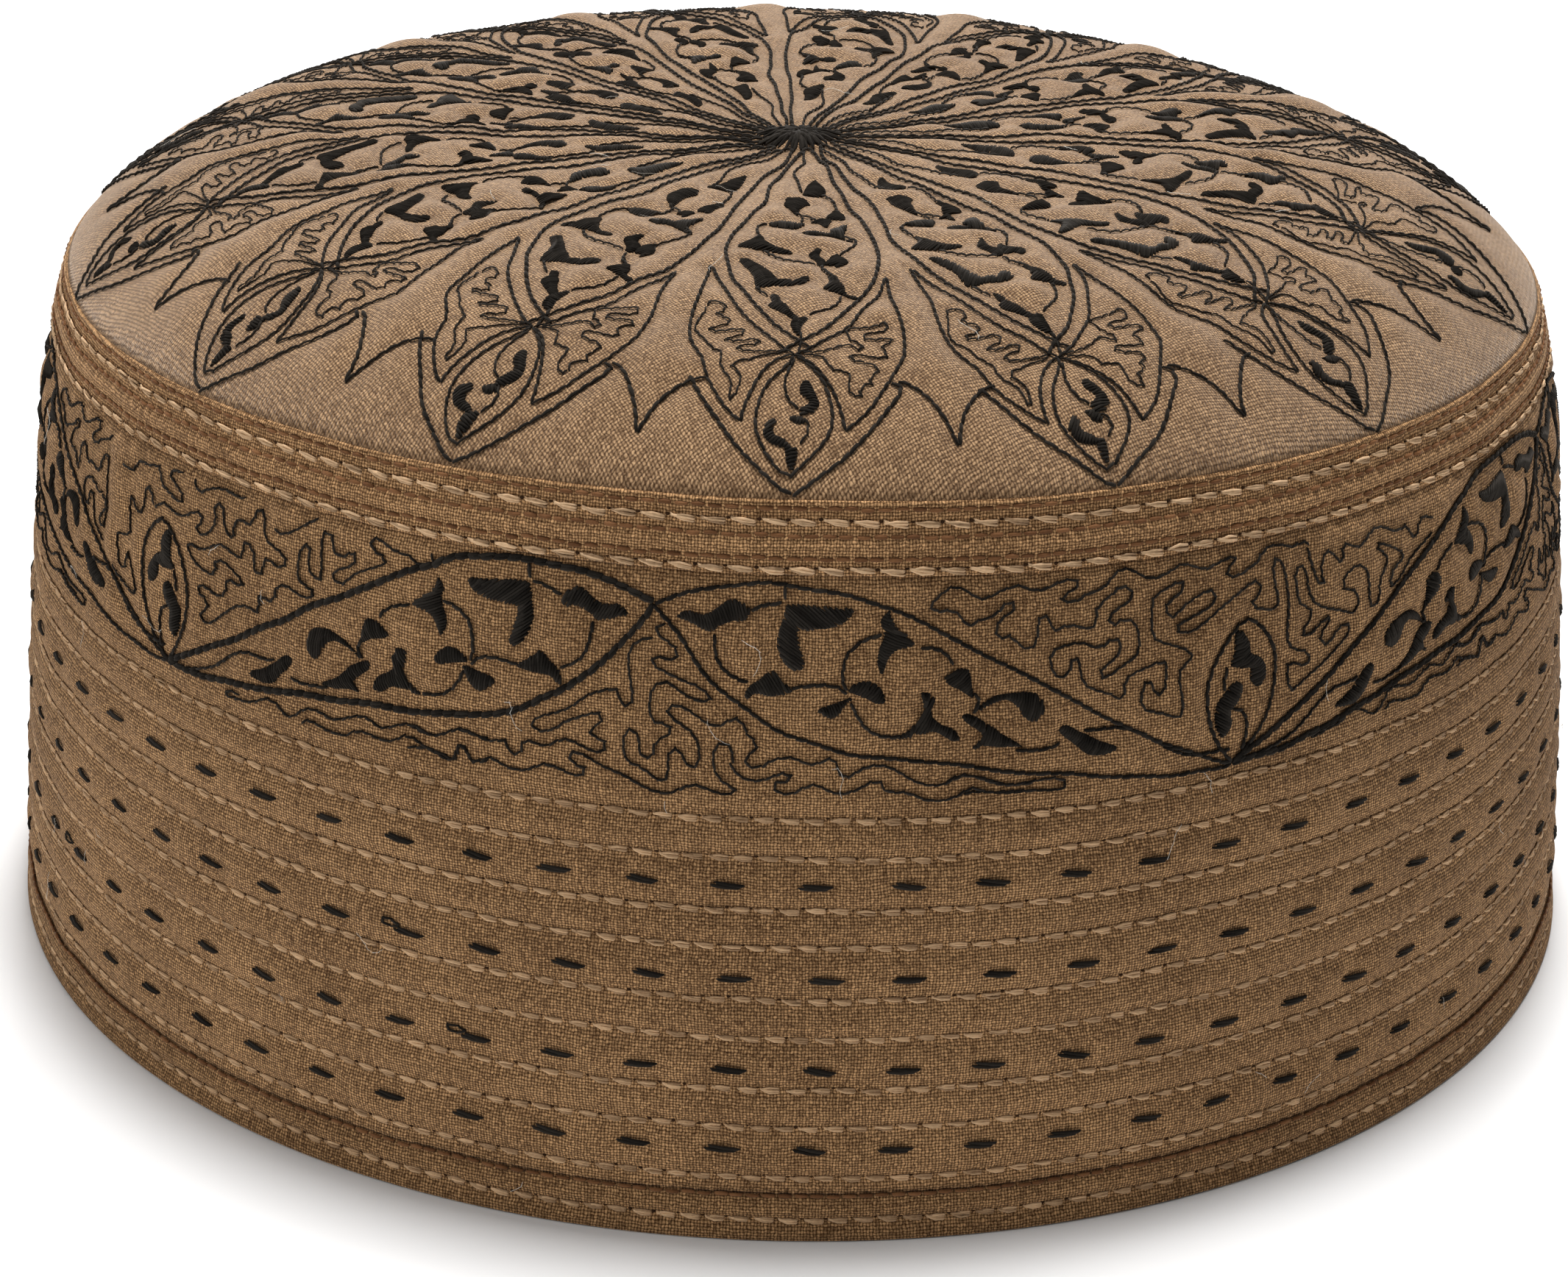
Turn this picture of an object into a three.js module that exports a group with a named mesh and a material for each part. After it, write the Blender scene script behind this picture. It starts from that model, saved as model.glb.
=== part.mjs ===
// Embroidered skullcap: a quilted cloth side band, a domed crown disc sewn inside its top edge,
// a binding strip over that joint and a folded binding round the lower rim.
// Millimetres, +Z up, the wearer's forehead towards -Y. The origin is the middle of the lower rim,
// on the surface that the cap stands on.
import * as THREE from 'three';

// Driving dimensions, in millimetres
const RIM_RADIUS = 94;            // outer radius of the cloth at the lower rim
const TAPER = 0.0445;             // radius lost for each millimetre of height
const TAPER_CURVE = 0.000425;     // and the part that grows with the height squared
const SEAM_HEIGHT = 81.2;         // top of the band, where the crown begins
const CROWN_RISE = 10.2;          // from the seam up to the middle of the crown
const CROWN_FLATNESS = 4.1;       // exponent of the dome: higher is flatter with a steeper edge
const BAND_WALL = 2.5;            // two cloths with a thin filling, quilted together
const CROWN_WALL = 2;
const BINDING_WALL = 1;
const BINDING_PROUD = 0.2;        // how far a binding stands out past the band's cloth
const SEAT_GAP = 0.3;             // between pieces that are sewn together
const TOP_BINDING_WIDTH = 7.7;    // the strip over the crown joint, down from the seam
const TOP_FOLD = 1;               // thickness of that strip where it folds over the band's top edge
const HEM_HEIGHT = 5.2;           // upper edge of the rim binding
const HEM_FLOOR = 1;              // thickness of the rim binding where the cap stands on it
const HEM_ROUNDING = 0.7;         // corner of the rim binding, where it turns under
const QUILT_HEIGHT = 47.7;        // highest row of the quilted part, where the frieze begins
const STITCH_SINK = 0.5;          // how deep the highest row of stitches draws the cloth in
const BINDING_SINK = 0.25;        // the same for the rows along the top binding
const PUFF_SHARE = 0.07;          // swell of the cloth between two rows, as a share of their distance
const SEAM_ALLOWANCE = 8;         // crown cloth turned down inside the band
const FACETS = 72;

// Rows of stitching round the quilted part: their place between the hem and the highest row,
// and their depth as a share of the highest row's
const STITCH_ROWS = [
  { place: 0.047, depth: 0.9 },
  { place: 0.122, depth: 0.7 },
  { place: 0.184, depth: 0.9 },
  { place: 0.287, depth: 0.9 },
  { place: 0.339, depth: 0.7 },
  { place: 0.426, depth: 0.9 },
  { place: 0.529, depth: 0.9 },
  { place: 0.581, depth: 0.7 },
  { place: 0.668, depth: 0.9 },
  { place: 0.765, depth: 0.9 },
  { place: 0.831, depth: 0.7 },
  { place: 0.899, depth: 0.9 },
  { place: 1, depth: 1 },
];
// Rows along the top binding, placed between its lower edge and its fold
const BINDING_ROWS = [
  { place: 0.15, depth: 1 },
  { place: 0.65, depth: 1 },
];
const FRIEZE_SHARES = [0.33, 0.56, 0.8];
const INSIDE_SHARES = [0.75, 0.5, 0.25];
const DOME_SHARES = [0, 0.3, 0.5, 0.64, 0.75, 0.83, 0.9, 0.955, 0.985];

// Outer radius of the cap's cloth at a height
function clothRadius(z) {
  return RIM_RADIUS - TAPER * z - TAPER_CURVE * z * z;
}

// Height of the crown's outside at a distance from its middle
const crownRadius = clothRadius(SEAM_HEIGHT) - BAND_WALL - SEAT_GAP;
function crownHeight(r) {
  return SEAM_HEIGHT + CROWN_RISE * (1 - (r / crownRadius) ** CROWN_FLATNESS);
}

// Points up a quilted surface from low to high: in at each row of stitches, out between two rows
function quiltedOutline(rows, low, high, offset, sink) {
  const outline = [];
  let below = low;
  for (const row of rows) {
    const height = low + (high - low) * row.place;
    const middle = (below + height) / 2;
    const swell = PUFF_SHARE * (height - below);
    outline.push([clothRadius(middle) + offset + swell, middle]);
    outline.push([clothRadius(height) + offset - sink * row.depth, height]);
    below = height;
  }
  return outline;
}

// Solid of revolution about Z from a closed outline of [radius, height] pairs, anticlockwise
function revolve(outline) {
  const points = outline.map(([r, z]) => new THREE.Vector2(r, z));
  if (outline[0][0] > 0) points.push(points[0].clone());
  const geometry = new THREE.LatheGeometry(points, FACETS);
  geometry.rotateX(Math.PI / 2);
  return geometry;
}

function cloth(color, roughness) {
  return new THREE.MeshStandardMaterial({ color, roughness, metalness: 0 });
}

function piece(name, geometry, material) {
  const mesh = new THREE.Mesh(geometry, material);
  mesh.name = name;
  return mesh;
}

// Side band: quilted below, a plain ground for the frieze above, let in under both bindings
const LET_IN = BINDING_WALL - BINDING_PROUD + SEAT_GAP;
const bandFoot = HEM_FLOOR + SEAT_GAP;
const bandTop = SEAM_HEIGHT - TOP_FOLD - SEAT_GAP;
const topBindingLow = SEAM_HEIGHT - TOP_BINDING_WIDTH;
function sideBand() {
  const hemStep = HEM_HEIGHT + SEAT_GAP;
  const topStep = topBindingLow - SEAT_GAP;
  const along = (low, high, share) => low + (high - low) * share;
  const frieze = FRIEZE_SHARES.map((share) => along(QUILT_HEIGHT, topStep, share));
  const inside = [1, ...INSIDE_SHARES, 0].map((share) => along(bandFoot, bandTop, share));
  return revolve([
    [clothRadius(bandFoot) - LET_IN, bandFoot],
    [clothRadius(hemStep) - LET_IN, hemStep],
    [clothRadius(hemStep), hemStep],
    ...quiltedOutline(STITCH_ROWS, hemStep, QUILT_HEIGHT, 0, STITCH_SINK),
    ...frieze.map((z) => [clothRadius(z), z]),
    [clothRadius(topStep), topStep],
    [clothRadius(topStep) - LET_IN, topStep],
    [clothRadius(bandTop) - LET_IN, bandTop],
    ...inside.map((z) => [clothRadius(z) - BAND_WALL, z]),
  ]);
}

// Strip over the joint: it lies on the band, then folds inward over the band's top edge
function topBinding() {
  const low = topBindingLow;
  const back = BINDING_PROUD - BINDING_WALL;
  const foldFloor = SEAM_HEIGHT - TOP_FOLD;
  const shoulder = SEAM_HEIGHT - TOP_FOLD / 2;
  const foldEnd = clothRadius(SEAM_HEIGHT) - BAND_WALL;
  return revolve([
    [clothRadius(low) + back, low],
    [clothRadius(low), low],
    ...quiltedOutline(BINDING_ROWS, low, shoulder, BINDING_PROUD, BINDING_SINK),
    [clothRadius(shoulder) + BINDING_PROUD / 2, shoulder],
    [clothRadius(SEAM_HEIGHT) - TOP_FOLD / 2, SEAM_HEIGHT],
    [foldEnd, SEAM_HEIGHT - TOP_FOLD / 4],
    [foldEnd, foldFloor],
    [clothRadius(foldFloor) + back, foldFloor],
  ]);
}

// Rim binding: a strip folded round the band's lower edge, flat where the cap stands on it
function hemBinding() {
  const high = HEM_HEIGHT;
  const outerFace = BINDING_PROUD;
  const outerBack = BINDING_PROUD - BINDING_WALL;
  const innerBack = -BAND_WALL - SEAT_GAP;
  const innerFace = innerBack - BINDING_WALL;
  const at = (z, offset) => [clothRadius(z) + offset, z];
  return revolve([
    at(0, innerFace + HEM_ROUNDING),
    at(0, outerFace - HEM_ROUNDING),
    at(HEM_ROUNDING, outerFace),
    at(high - HEM_ROUNDING, outerFace),
    at(high, outerFace - HEM_ROUNDING),
    at(high, outerBack),
    at(HEM_FLOOR, outerBack),
    at(HEM_FLOOR, innerBack),
    at(high, innerBack),
    at(high, innerFace),
    at(HEM_ROUNDING, innerFace),
  ]);
}

// Crown: a puffed disc whose edge turns down inside the band as a seam allowance
function crownDisc() {
  const allowanceFoot = SEAM_HEIGHT - SEAM_ALLOWANCE;
  const insideBand = (z) => clothRadius(z) - BAND_WALL - SEAT_GAP;
  const dome = DOME_SHARES.map((share) => share * crownRadius);
  const outside = dome.map((r) => [r, crownHeight(r)]).reverse();
  const innerRadius = crownRadius - CROWN_WALL;
  const inside = dome.slice(0, -1).map((r) => {
    const share = r / crownRadius;
    return [share * innerRadius, crownHeight(r) - CROWN_WALL];
  });
  return revolve([
    ...inside,
    [insideBand(allowanceFoot) - BINDING_WALL, allowanceFoot],
    [insideBand(allowanceFoot), allowanceFoot],
    [insideBand(bandTop), bandTop],
    [crownRadius, SEAM_HEIGHT - TOP_FOLD / 4],
    ...outside,
  ]);
}

const skullcap = new THREE.Group();
skullcap.add(piece('side_band', sideBand(), cloth(0x96734b, 0.93)));
skullcap.add(piece('crown', crownDisc(), cloth(0xa17d55, 0.93)));
skullcap.add(piece('top_binding', topBinding(), cloth(0x9a774e, 0.93)));
skullcap.add(piece('hem_binding', hemBinding(), cloth(0x8c6a43, 0.93)));

export default skullcap;
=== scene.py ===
"""Embroidered skullcap: cloth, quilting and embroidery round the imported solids.

Lengths are in millimetres until a mesh is made. The band is worked on unrolled: the first coordinate
runs round it and the second up it. The crown is worked on flat, seen from above.
"""

import math

import bpy
import numpy as np
from mathutils import Matrix, Vector


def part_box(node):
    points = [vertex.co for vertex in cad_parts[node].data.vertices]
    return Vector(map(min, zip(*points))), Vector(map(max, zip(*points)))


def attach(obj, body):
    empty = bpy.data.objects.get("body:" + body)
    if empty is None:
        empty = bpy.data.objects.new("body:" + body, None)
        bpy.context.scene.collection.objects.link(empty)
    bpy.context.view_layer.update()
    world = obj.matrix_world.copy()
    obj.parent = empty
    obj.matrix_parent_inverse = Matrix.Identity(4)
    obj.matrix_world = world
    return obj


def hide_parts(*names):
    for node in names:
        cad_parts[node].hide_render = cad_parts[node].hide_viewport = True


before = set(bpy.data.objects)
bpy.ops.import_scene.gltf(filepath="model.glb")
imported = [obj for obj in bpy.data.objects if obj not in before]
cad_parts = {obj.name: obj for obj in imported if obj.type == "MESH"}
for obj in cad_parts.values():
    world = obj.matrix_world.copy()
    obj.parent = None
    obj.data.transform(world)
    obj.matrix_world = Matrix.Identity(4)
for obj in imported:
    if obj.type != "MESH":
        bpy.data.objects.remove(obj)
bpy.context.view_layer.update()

MM = 0.001
rng = np.random.default_rng(15)

# The plain form, as the solids have it
RIM_RADIUS = 94.0
TAPER = 0.0445
TAPER_CURVE = 0.000425
BAND_WALL = 2.5
CROWN_WALL = 2.0
BINDING_WALL = 1.0
BINDING_PROUD = 0.25
SEAT_GAP = 0.3
SEAM_DROOP = 1.1                  # worn cloth: the seam hangs this far below the solids' one
SEAM_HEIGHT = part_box("top_binding")[1].z / MM - SEAM_DROOP
STRIP_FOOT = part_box("top_binding")[0].z / MM - 0.9
HEM_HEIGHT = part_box("hem_binding")[1].z / MM
ALLOWANCE_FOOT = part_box("crown")[0].z / MM
DRAWN_IN = 1.84                   # the seam also draws the top of the band in
DRAWN_FROM = 59.6
DRAWN_CURVE = 2.14
CROWN_RISE = 12.07                # from the seam to the middle of the crown
CROWN_FLATNESS = 7.3
FRONT_FULLNESS = 3.17             # the crown's front half is a little fuller than its back
CREASE_DROP = 0.5                 # the crown dips into the seam
CREASE_INSET = 0.25
ROLL_WIDTH = 0.8

# Rows of sewing round the band: heights
TAN_ROWS = [2.4, 7.15, 13.0, 17.35, 23.2, 27.55, 33.4, 37.45, 43.1, 47.3]
BLACK_ROWS = [
    {"height": 10.55, "first": -66.06},
    {"height": 19.65, "first": -65.63},
    {"height": 29.95, "first": -65.13},
    {"height": 40.25, "first": -60.17},
]
LOOPED_DASHES = [
    {"height": 29.95, "turn": -27.0},
    {"height": 19.65, "turn": -22.0},
    {"height": 19.65, "turn": -62.0},
]
STRIP_ROWS = [73.2, 77.8]
BROWN_ROWS = [5.2, 74.3, 76.5, 79.15]

UNROLL = 90.0                     # the band is unrolled at this radius
TURN = math.radians(UNROLL)       # millimetres round the unrolled band for each degree
ROUND = math.tau * UNROLL
CLOTH_CELL = 0.4                  # cells of the maps that hold the cloth's relief
MARK_STEP = 0.3                   # spacing of the marks along a sewn line


def cloth_radius(z):
    """Outer radius of the band's cloth at a height."""
    share = np.maximum(z - DRAWN_FROM, 0) / (SEAM_HEIGHT - DRAWN_FROM)
    return RIM_RADIUS - TAPER * z - TAPER_CURVE * z * z - DRAWN_IN * share ** DRAWN_CURVE


SEAM_RADIUS = cloth_radius(SEAM_HEIGHT)
CROWN_EDGE = SEAM_RADIUS - CREASE_INSET


def crown_height(r, y=0.0):
    """Height of the plain crown at a distance from its middle, and y millimetres behind it."""
    share = r / SEAM_RADIUS
    dome = CROWN_RISE * (1 - share ** CROWN_FLATNESS)
    front = FRONT_FULLNESS * y / SEAM_RADIUS * (1 - share ** 2)
    return SEAM_HEIGHT + dome - front - CREASE_DROP * np.exp((r - CROWN_EDGE) / ROLL_WIDTH)


def around(turn, r, z):
    """Places at an angle round the cap from its front, a distance from its middle and a height."""
    return np.stack([r * np.sin(turn), -r * np.cos(turn), np.full_like(turn, z)], -1)


# Charts of the embroidery, drawn as strokes of x,y pairs, with a semicolon between two strokes
def strokes(text):
    return [np.array([pair.split(",") for pair in line.split()], float) for line in text.split(";")]


# The front petal in millimetres: across it, and out from the crown's middle
PETAL_LENS = strokes("""
0.3,3 -0.7,5 -1.8,10 -2.9,15 -3.9,20 -4.5,25 -6.2,30 -7.7,35 -8.25,40 -7.8,45 -7,48.7 -6.1,51 -5.3,53.4
-4.6,55.1 -3.5,57.3 -2.3,59.6 -1.2,61.2 -0.2,62.5 1.1,63.9; 0.4,3 1.3,5 2.6,10 3.3,15 4.4,20 5.5,25 6.9,30
7.7,35 8.3,40 8.05,45 7.6,47.6 6.6,50.4 5.5,53.4 4.4,56 3,58.7 1.6,60.7 0.2,62 -0.9,63.6 -1.6,64.6
""")
PETAL_SHOULDERS = strokes("""
-0.6,65.2 -1.6,64.3 -3.1,62 -4.36,60 -5.6,57.6 -6.7,55.1 -7.55,52.6 -8.4,49.5 -9.1,46.8 -9.6,44; -9.8,43.8
-10.6,50.9 -11.3,55.1 -11.7,59 -11.6,61.8 -10.9,64 -10.05,65.9 -9.8,68.4 -9.2,70.4 -8.1,72.9 -7,74.8 -6,76.1;
-5.9,76.1 -5.75,74.3 -5.2,71.8 -4.2,69 -2.8,66.8 -1.4,65.5 -0.6,65.2; -0.6,65.2 1.06,63.9 2.4,62.3 4.1,60.1
5.5,57.9 6.3,55.7 7.4,52.9 8.4,49.8 8.9,46.6; 8.97,46.4 9.5,51.2 10.2,55.7 10.8,59.6 10.9,62.9 10.8,64.6
10.1,66.2 9.4,68.2 8.7,70.1 7.4,73.2 6.06,75.4 4.7,77.2; 4.7,77.2 4.4,74.8 3.6,71.5 2.4,68.7 1.06,66.5
-0.6,65.2
""")
PETAL_POINT = strokes("""
-11.4,68.4 -10.6,70.7 -9.5,73.4 -8.4,75.9 -6.7,79.3 -5.06,81.5 -3.4,83.7 -1.4,86.2 -0.6,86.4; -0.6,86.4
0.8,85.4 2.4,83.7 4.4,81.5 6.06,79 7.7,76.2 9.1,73.4 10.2,71.2 10.6,69.7 9.4,68.6
""")
PETAL_TIP = strokes("""
-0.6,65.3 -1.4,67.3 -3.1,69.8 -4.1,72.9 -4.5,76.5 -3.9,79.3 -2.8,82 -1,84.4 0.2,82.9 1.9,80.4 3.1,77.6
3.4,74.8 3,71.8 2.2,69 0.8,66.8 -0.4,65.4
""")
PETAL_CURTAIN = strokes("""
10.1,68.4 11.6,69.2 13,70.7 14.1,72.3 15.2,74.3 16.2,76.9; 16.3,76.9 16.5,74.6 17,72 17.9,69.6 18.9,67.6
20.3,66.8
""")

# Two sheets of the petal's vine, in units to a millimetre, and where each sheet's corner lies
SHEET_SCALE = 7.2
INNER_SHEET = (-22.0, 4.0)
OUTER_SHEET = (-22.0, 44.0)
INNER_STEMS = strokes("""
158,0 160,26 158,40 152,58 151,70 154,86 156,100 157,112; 174,116 181,124 184,136 185,148 188,156; 152,166
158,174 166,177 170,184; 159,174 157,186; 132,192 124,198 122,210 123,222; 128,256 133,266 142,275 156,277
170,278; 188,214 195,220 201,228 200,236 197,247 188,258; 174,280 174,290 180,300 184,308
""")
OUTER_STEMS = strokes("""
124,40 128,50 133,58; 176,6 182,16; 190,48 188,60 182,74 172,82 164,88; 160,120 159,134 157,152; 154,158
149,176 148,192 151,208 158,217; 162,226 166,236 165,248 159,256
""")
INNER_LEAVES = strokes("""
169,82 164,88 160,96 158,108 158,120 166,120 176,115 177,106 174,96 171,86; 183,151 188,152 191,160 193,170
191,178 183,177 176,174 179,166 183,160; 166,184 172,186 177,195 179,186 180,178 174,177 169,181; 144,138
152,136 160,136 164,143 160,148 157,154 156,162 155,170 148,162 143,154 141.6,148; 132,190 144,187 158,187
157,194 154,202 148,206 142,202 136,197; 125,222 130,234 138,246 150,252 150,256 140,256 130,253 120,255
109,251 108,247 117,240 121,232; 173,246 164,254 163,260 168,270 170,278 176,277 178,266 173,258; 178,266
186,256 189,262 195,272 194,280 186,285 184,280 176,277; 180,202 192,194 193,204 192,216 198,224 188,220
179,216 172,215 168,218 162,215 162,209 170,207 179,209
""")
OUTER_LEAVES = strokes("""
112,-12 118,-13 123,-7 129,2 134,14 138,24 140,28 148,26 152,30 157,23 162,20 166,22 165,30 160,37 150,41
138,38 128,40 121,39 120,26 118,12 114,-2; 138,54 143,57 145,66 149,74 152,84 157,92 158,98 154,98 148,92
141,86 135,80 134,75 138,70 137,62; 181,14 186,17 189,24 193,32 194,43 200,47 201,51 197,53 190,48 186,46
178,43 174,40 178,34 181,24; 151,96 160,91 163,94 161,104 160,116 160,122 154,118 150,110 149,104; 164,185
171,200 173.6,212 169,221 160,224 158,218 165,208 158,197 159,188; 152,226 157,223 162.4,226 162.4,233
158,236.4 153,233; 138,226 131,238 133,248 140,256 152,260 150,252.4 142.4,246 140.4,238 143,230; 148,258
147,268 149,278 153,281 157,270 158,258
""")
# Small wandering stitches that fill the petal's two shoulders, on the outer sheet
PETAL_MEANDER = strokes("""
86,78 88,70 95,71 99,76 104,83 102,87 95,88 94,92 100,97 105,99 104,104 98,109 90,108 88,112 94,116 104,116.4
114,115 117,118 115,124 110,127 103,127 100,131 104,133 114,132 124,130 128,132 128,138 122,142 114,141
110,143 111,149 118,150 128,149.6 148,148; 148,148 140,153 130,156 122,160 118,164 110,163 106,167 108,170
111,174 115,182 114,190 112,200 109,208 106,208 106,200 108,192 106,182 100,172 98,164 100,154 98,149 90,145
88,136 84,124 80,118 78,112 80,100 85,88 86,79; 160,149 172,148 180,146 186,141 192,136 198,135 200,140
202,143 206,138 202,130 197,132 195,124 195,114 190,110 198,109 208,107 212,103 218,102 221,98 226,100
226,108 222,114 212,115 204,117 205,125 212,126 222,122 230,124 229,129 220,132 218,138 222,142 224,149
216,150 204,149 195,151 197,159 204,160 210,158 218,162 216,170 209,172 211,180 214,184 204,185 203,192
207,197 205,201 197,198 193,190 195,174 186,172 181,170 180,162 178,155 170,153 160,152
""")
# Where each petal lies, in degrees: its left edge at mid radius, its crossing and its point.
# The crossing's distance from the pattern's middle varies too.
EDGE_AT = 46.0
NODE_AT = 69.4
TIP_AT = 83.0
PETALS = [
    dict(zip(("edge", "node", "tip", "cross"), row)) for row in (
        (-176.0, -165.5, -165.5, 68.4),
        (-155.0, -145.5, -145.5, 68.4),
        (-136.4, -125.0, -124.0, 68.4),
        (-114.5, -102.0, -100.0, 68.4),
        (-90.5, -72.9, -72.8, 69.2),
        (-64.6, -48.7, -48.6, 67.3),
        (-37.4, -23.5, -24.5, 67.8),
        (-11.1, 0.0, 0.0, 68.9),
        (12.8, 22.5, 22.9, 70.4),
        (35.7, 46.7, 46.3, 68.5),
        (63.7, 71.0, 73.5, 66.5),
        (94.7, 105.0, 104.0, 68.4),
        (121.5, 130.0, 129.0, 68.4),
        (142.1, 151.5, 151.5, 68.4),
        (162.0, 173.0, 173.0, 68.4),
    )
]
CHARTED_PETAL = 7
TIP_CLEARANCE = 0.1               # the points stop this far from the seam
PATTERN_MIDDLE = np.array([-0.66, -2.23])   # where all petals meet, on the flat crown
# The petal was charted as the camera sees it, squeezed towards the seam: this opens it out again
CHART_START = np.array([0.57, 0.6])
CHART_SCALE = np.array([0.98, 1.191])
CHART_CLOSING = 3.18e-5

# The frieze's charted unit: a top knot between two foot knots, in degrees round and millimetres up
CHART_TOP = -9.3
CHART_LEFT_FOOT = -48.3
CHART_RIGHT_FOOT = 30.3
CHART_TOP_HEIGHT = 70.0
CHART_LEFT_HEIGHT = 50.8
CHART_RIGHT_HEIGHT = 49.4
LEFT_ALMOND = strokes("""
-48.3,50.8 -46.5,52.1 -44.2,54.1 -42.1,55.8 -40,57.6 -37.9,59.7 -35.8,61.5 -33.7,63.7 -31.6,65.4 -29.5,67.2
-27.4,69.1 -25.9,70.3 -25,70.6 -23.3,72 -21,72.7 -19.1,72.8 -16.6,72.8 -14.2,72.4 -11.7,71.5 -9.3,70;
-48.3,50.7 -44.2,50.9 -42.1,51.5 -40,51.9 -37.9,52.4 -35.8,52.9 -33.7,53.5 -31.6,53.9 -29.5,54.3 -27.4,54.7
-25.3,54.85 -23.2,55.3 -20.2,56.1 -18,57.3 -16.6,58.7 -15.1,59.8 -13.4,62.2 -11.7,64.7 -10.5,66.9 -9.3,69.8
""")
RIGHT_ALMOND = strokes("""
-9.3,70 -7.1,71.3 -5,72.2 -2.9,72.6 -1,72.7 1.3,72.2 3.4,71.6 5.5,70.7 7.6,69.4 9.7,67.6 11.8,65.7 13.9,64
15.8,62.2 18.5,59.5 20.6,57.3 22.7,55.3 24.8,53.4 26.9,51.7 29,50.2 30.3,49.4; -9.3,69.9 -7.9,67.7 -6.7,64.9
-5.4,62.5 -3.7,60.2 -1.85,58.3 0,56.8 2.35,55.6 4.45,54.8 7.6,54.3 10.75,53.6 14.3,52.4 18.5,51.5 22.7,50.2
25.8,49.6 29,49.2 30.3,49.4
""")
# The vine of a left half, in degrees from the top knot
VINE_STEMS = strokes("""
-38.8,50.9 -36.7,51.2 -34.9,51.9 -33.4,53.1 -32.5,54.4 -30.7,56 -29,55.8 -27.9,56.1; -26.45,54.95 -25.6,54.6
-23.3,54.95; -21,59.5 -20.6,58.7 -21.1,60.4 -20.6,61.4; -19.3,64.2 -18.9,65.4 -18.05,66.2 -17,66.4;
-14.7,67.6 -13.6,67.2 -12.6,66.1 -12.2,64.5 -12.2,62.5 -12.5,61.5; -12.5,61.2 -12.2,61.9 -11.2,62.4 -10,62.3
-8.9,62; -12.8,60.5 -13.3,58.8 -14,57.6 -14.8,57.1 -15.9,57; -6.2,62.4 -5,63.2 -4.3,64.5 -4.1,65.9 -4,67.4;
-6.2,69.8 -6.8,70.3 -7.7,70.7 -8.3,70.8; -8.5,72.6 -8.4,71
""")
VINE_LEAVES = strokes("""
-30.1,53.9 -29,54.95 -27.9,56.1 -26.9,57.1 -26.4,56.3 -27.1,54.8 -28.1,53.4 -29.4,53.4; -23.8,55.1 -22.5,56.6
-21.6,58.1 -20.3,59 -20.1,58.1 -21.1,56.6 -20.6,55.5 -21.4,55.6 -22.7,55.05; -21,59.4 -22,60.8 -23.3,61.3
-24.5,61.2 -25.1,60 -25.1,58.5 -24.5,57.6 -23.9,58.3 -23.5,59.5 -22.7,60.3 -21.6,59.9; -20.3,64.1 -19.4,64.1
-18.6,62.9 -18.9,62 -19.8,61.4 -20.6,60.8 -20.6,62.4 -20.5,63.5; -15.1,69.7 -14.5,68.8 -14.65,67.4 -14.3,65.2
-14.65,63.9 -15.1,65.2 -15.7,65.9 -16.9,66.2 -16.3,67.3 -15.5,68.4; -12.6,61.6 -13.3,62.6 -14.2,62.8
-14.8,61.9 -14.8,60.9 -14.3,60.6 -13.55,61; -12.8,60.7 -12,60.6 -10.7,60.1 -11,59.2 -11.7,58.7 -12.3,59.4;
-17.9,61.4 -17.2,61.3 -17.25,59.2 -16.6,57.8 -15.8,56.9 -17,56.9 -18.05,57.1 -19.1,56.1 -19.6,56.5 -19.3,57.7
-18.3,58.6 -17.9,59.8 -18.2,60.7; -7.5,63.8 -6.7,62.9 -6.1,61.9 -6.1,60.6 -6.8,61.3 -7.9,61.2 -9,61.6
-8.3,62.8; -6.2,69.6 -5.7,70.6 -4.9,70.8 -4.1,70 -3.2,69.5 -2.2,69.8 -1.8,68.9 -2.8,68 -3.7,67.3 -4.2,68.1
-5.05,68.8 -5.9,68.8; -12.7,70.3 -11.7,70.4 -10.2,70.7 -8.8,70.9 -8.4,70.6 -8.3,68.9 -8,66.9 -8.4,65.05
-9.35,64 -9.7,64.5 -9.5,65.9 -9.4,67.7 -10.6,68 -12,68.8 -12.6,69.6
""")
# The bud that stands on a foot knot, in degrees from the knot
BUD_LENS = strokes("""
0,50.3 -0.6,50.9 -1.6,52.4 -2.6,54.8 -3.3,57.8 -3.4,61.2 -3,63.5 -2.15,65.2 -1.06,66.2 -0.05,65.05 0.9,63.4
1.7,61.2 2.15,58.5 1.9,55.5 1.2,52.8 0.4,51.1 0,50.3
""")
BUD_STEMS = strokes("""
0.33,61.2 0.75,59.8 0.83,58.5; 0,56.6 -0.7,56.3 -1,55.1 -1,53.1 -0.7,51.4
""")
BUD_LEAVES = strokes("""
-0.85,64.8 -0.26,64.5 -0.05,62.5 0.33,61.2 -0.26,60.8 -1.3,60.7 -1.35,59.3 -1.9,58.5 -2.6,59.2 -2.7,60.5
-2.05,61.7 -1.4,62.4 -1.3,63.7; -0.6,59.1 0.26,59.1 0.9,58.1 1.46,57 1.3,55.1 0.7,53.6 0.1,54.4 0.2,56
-0.26,56.8 -0.64,58
""")
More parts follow.
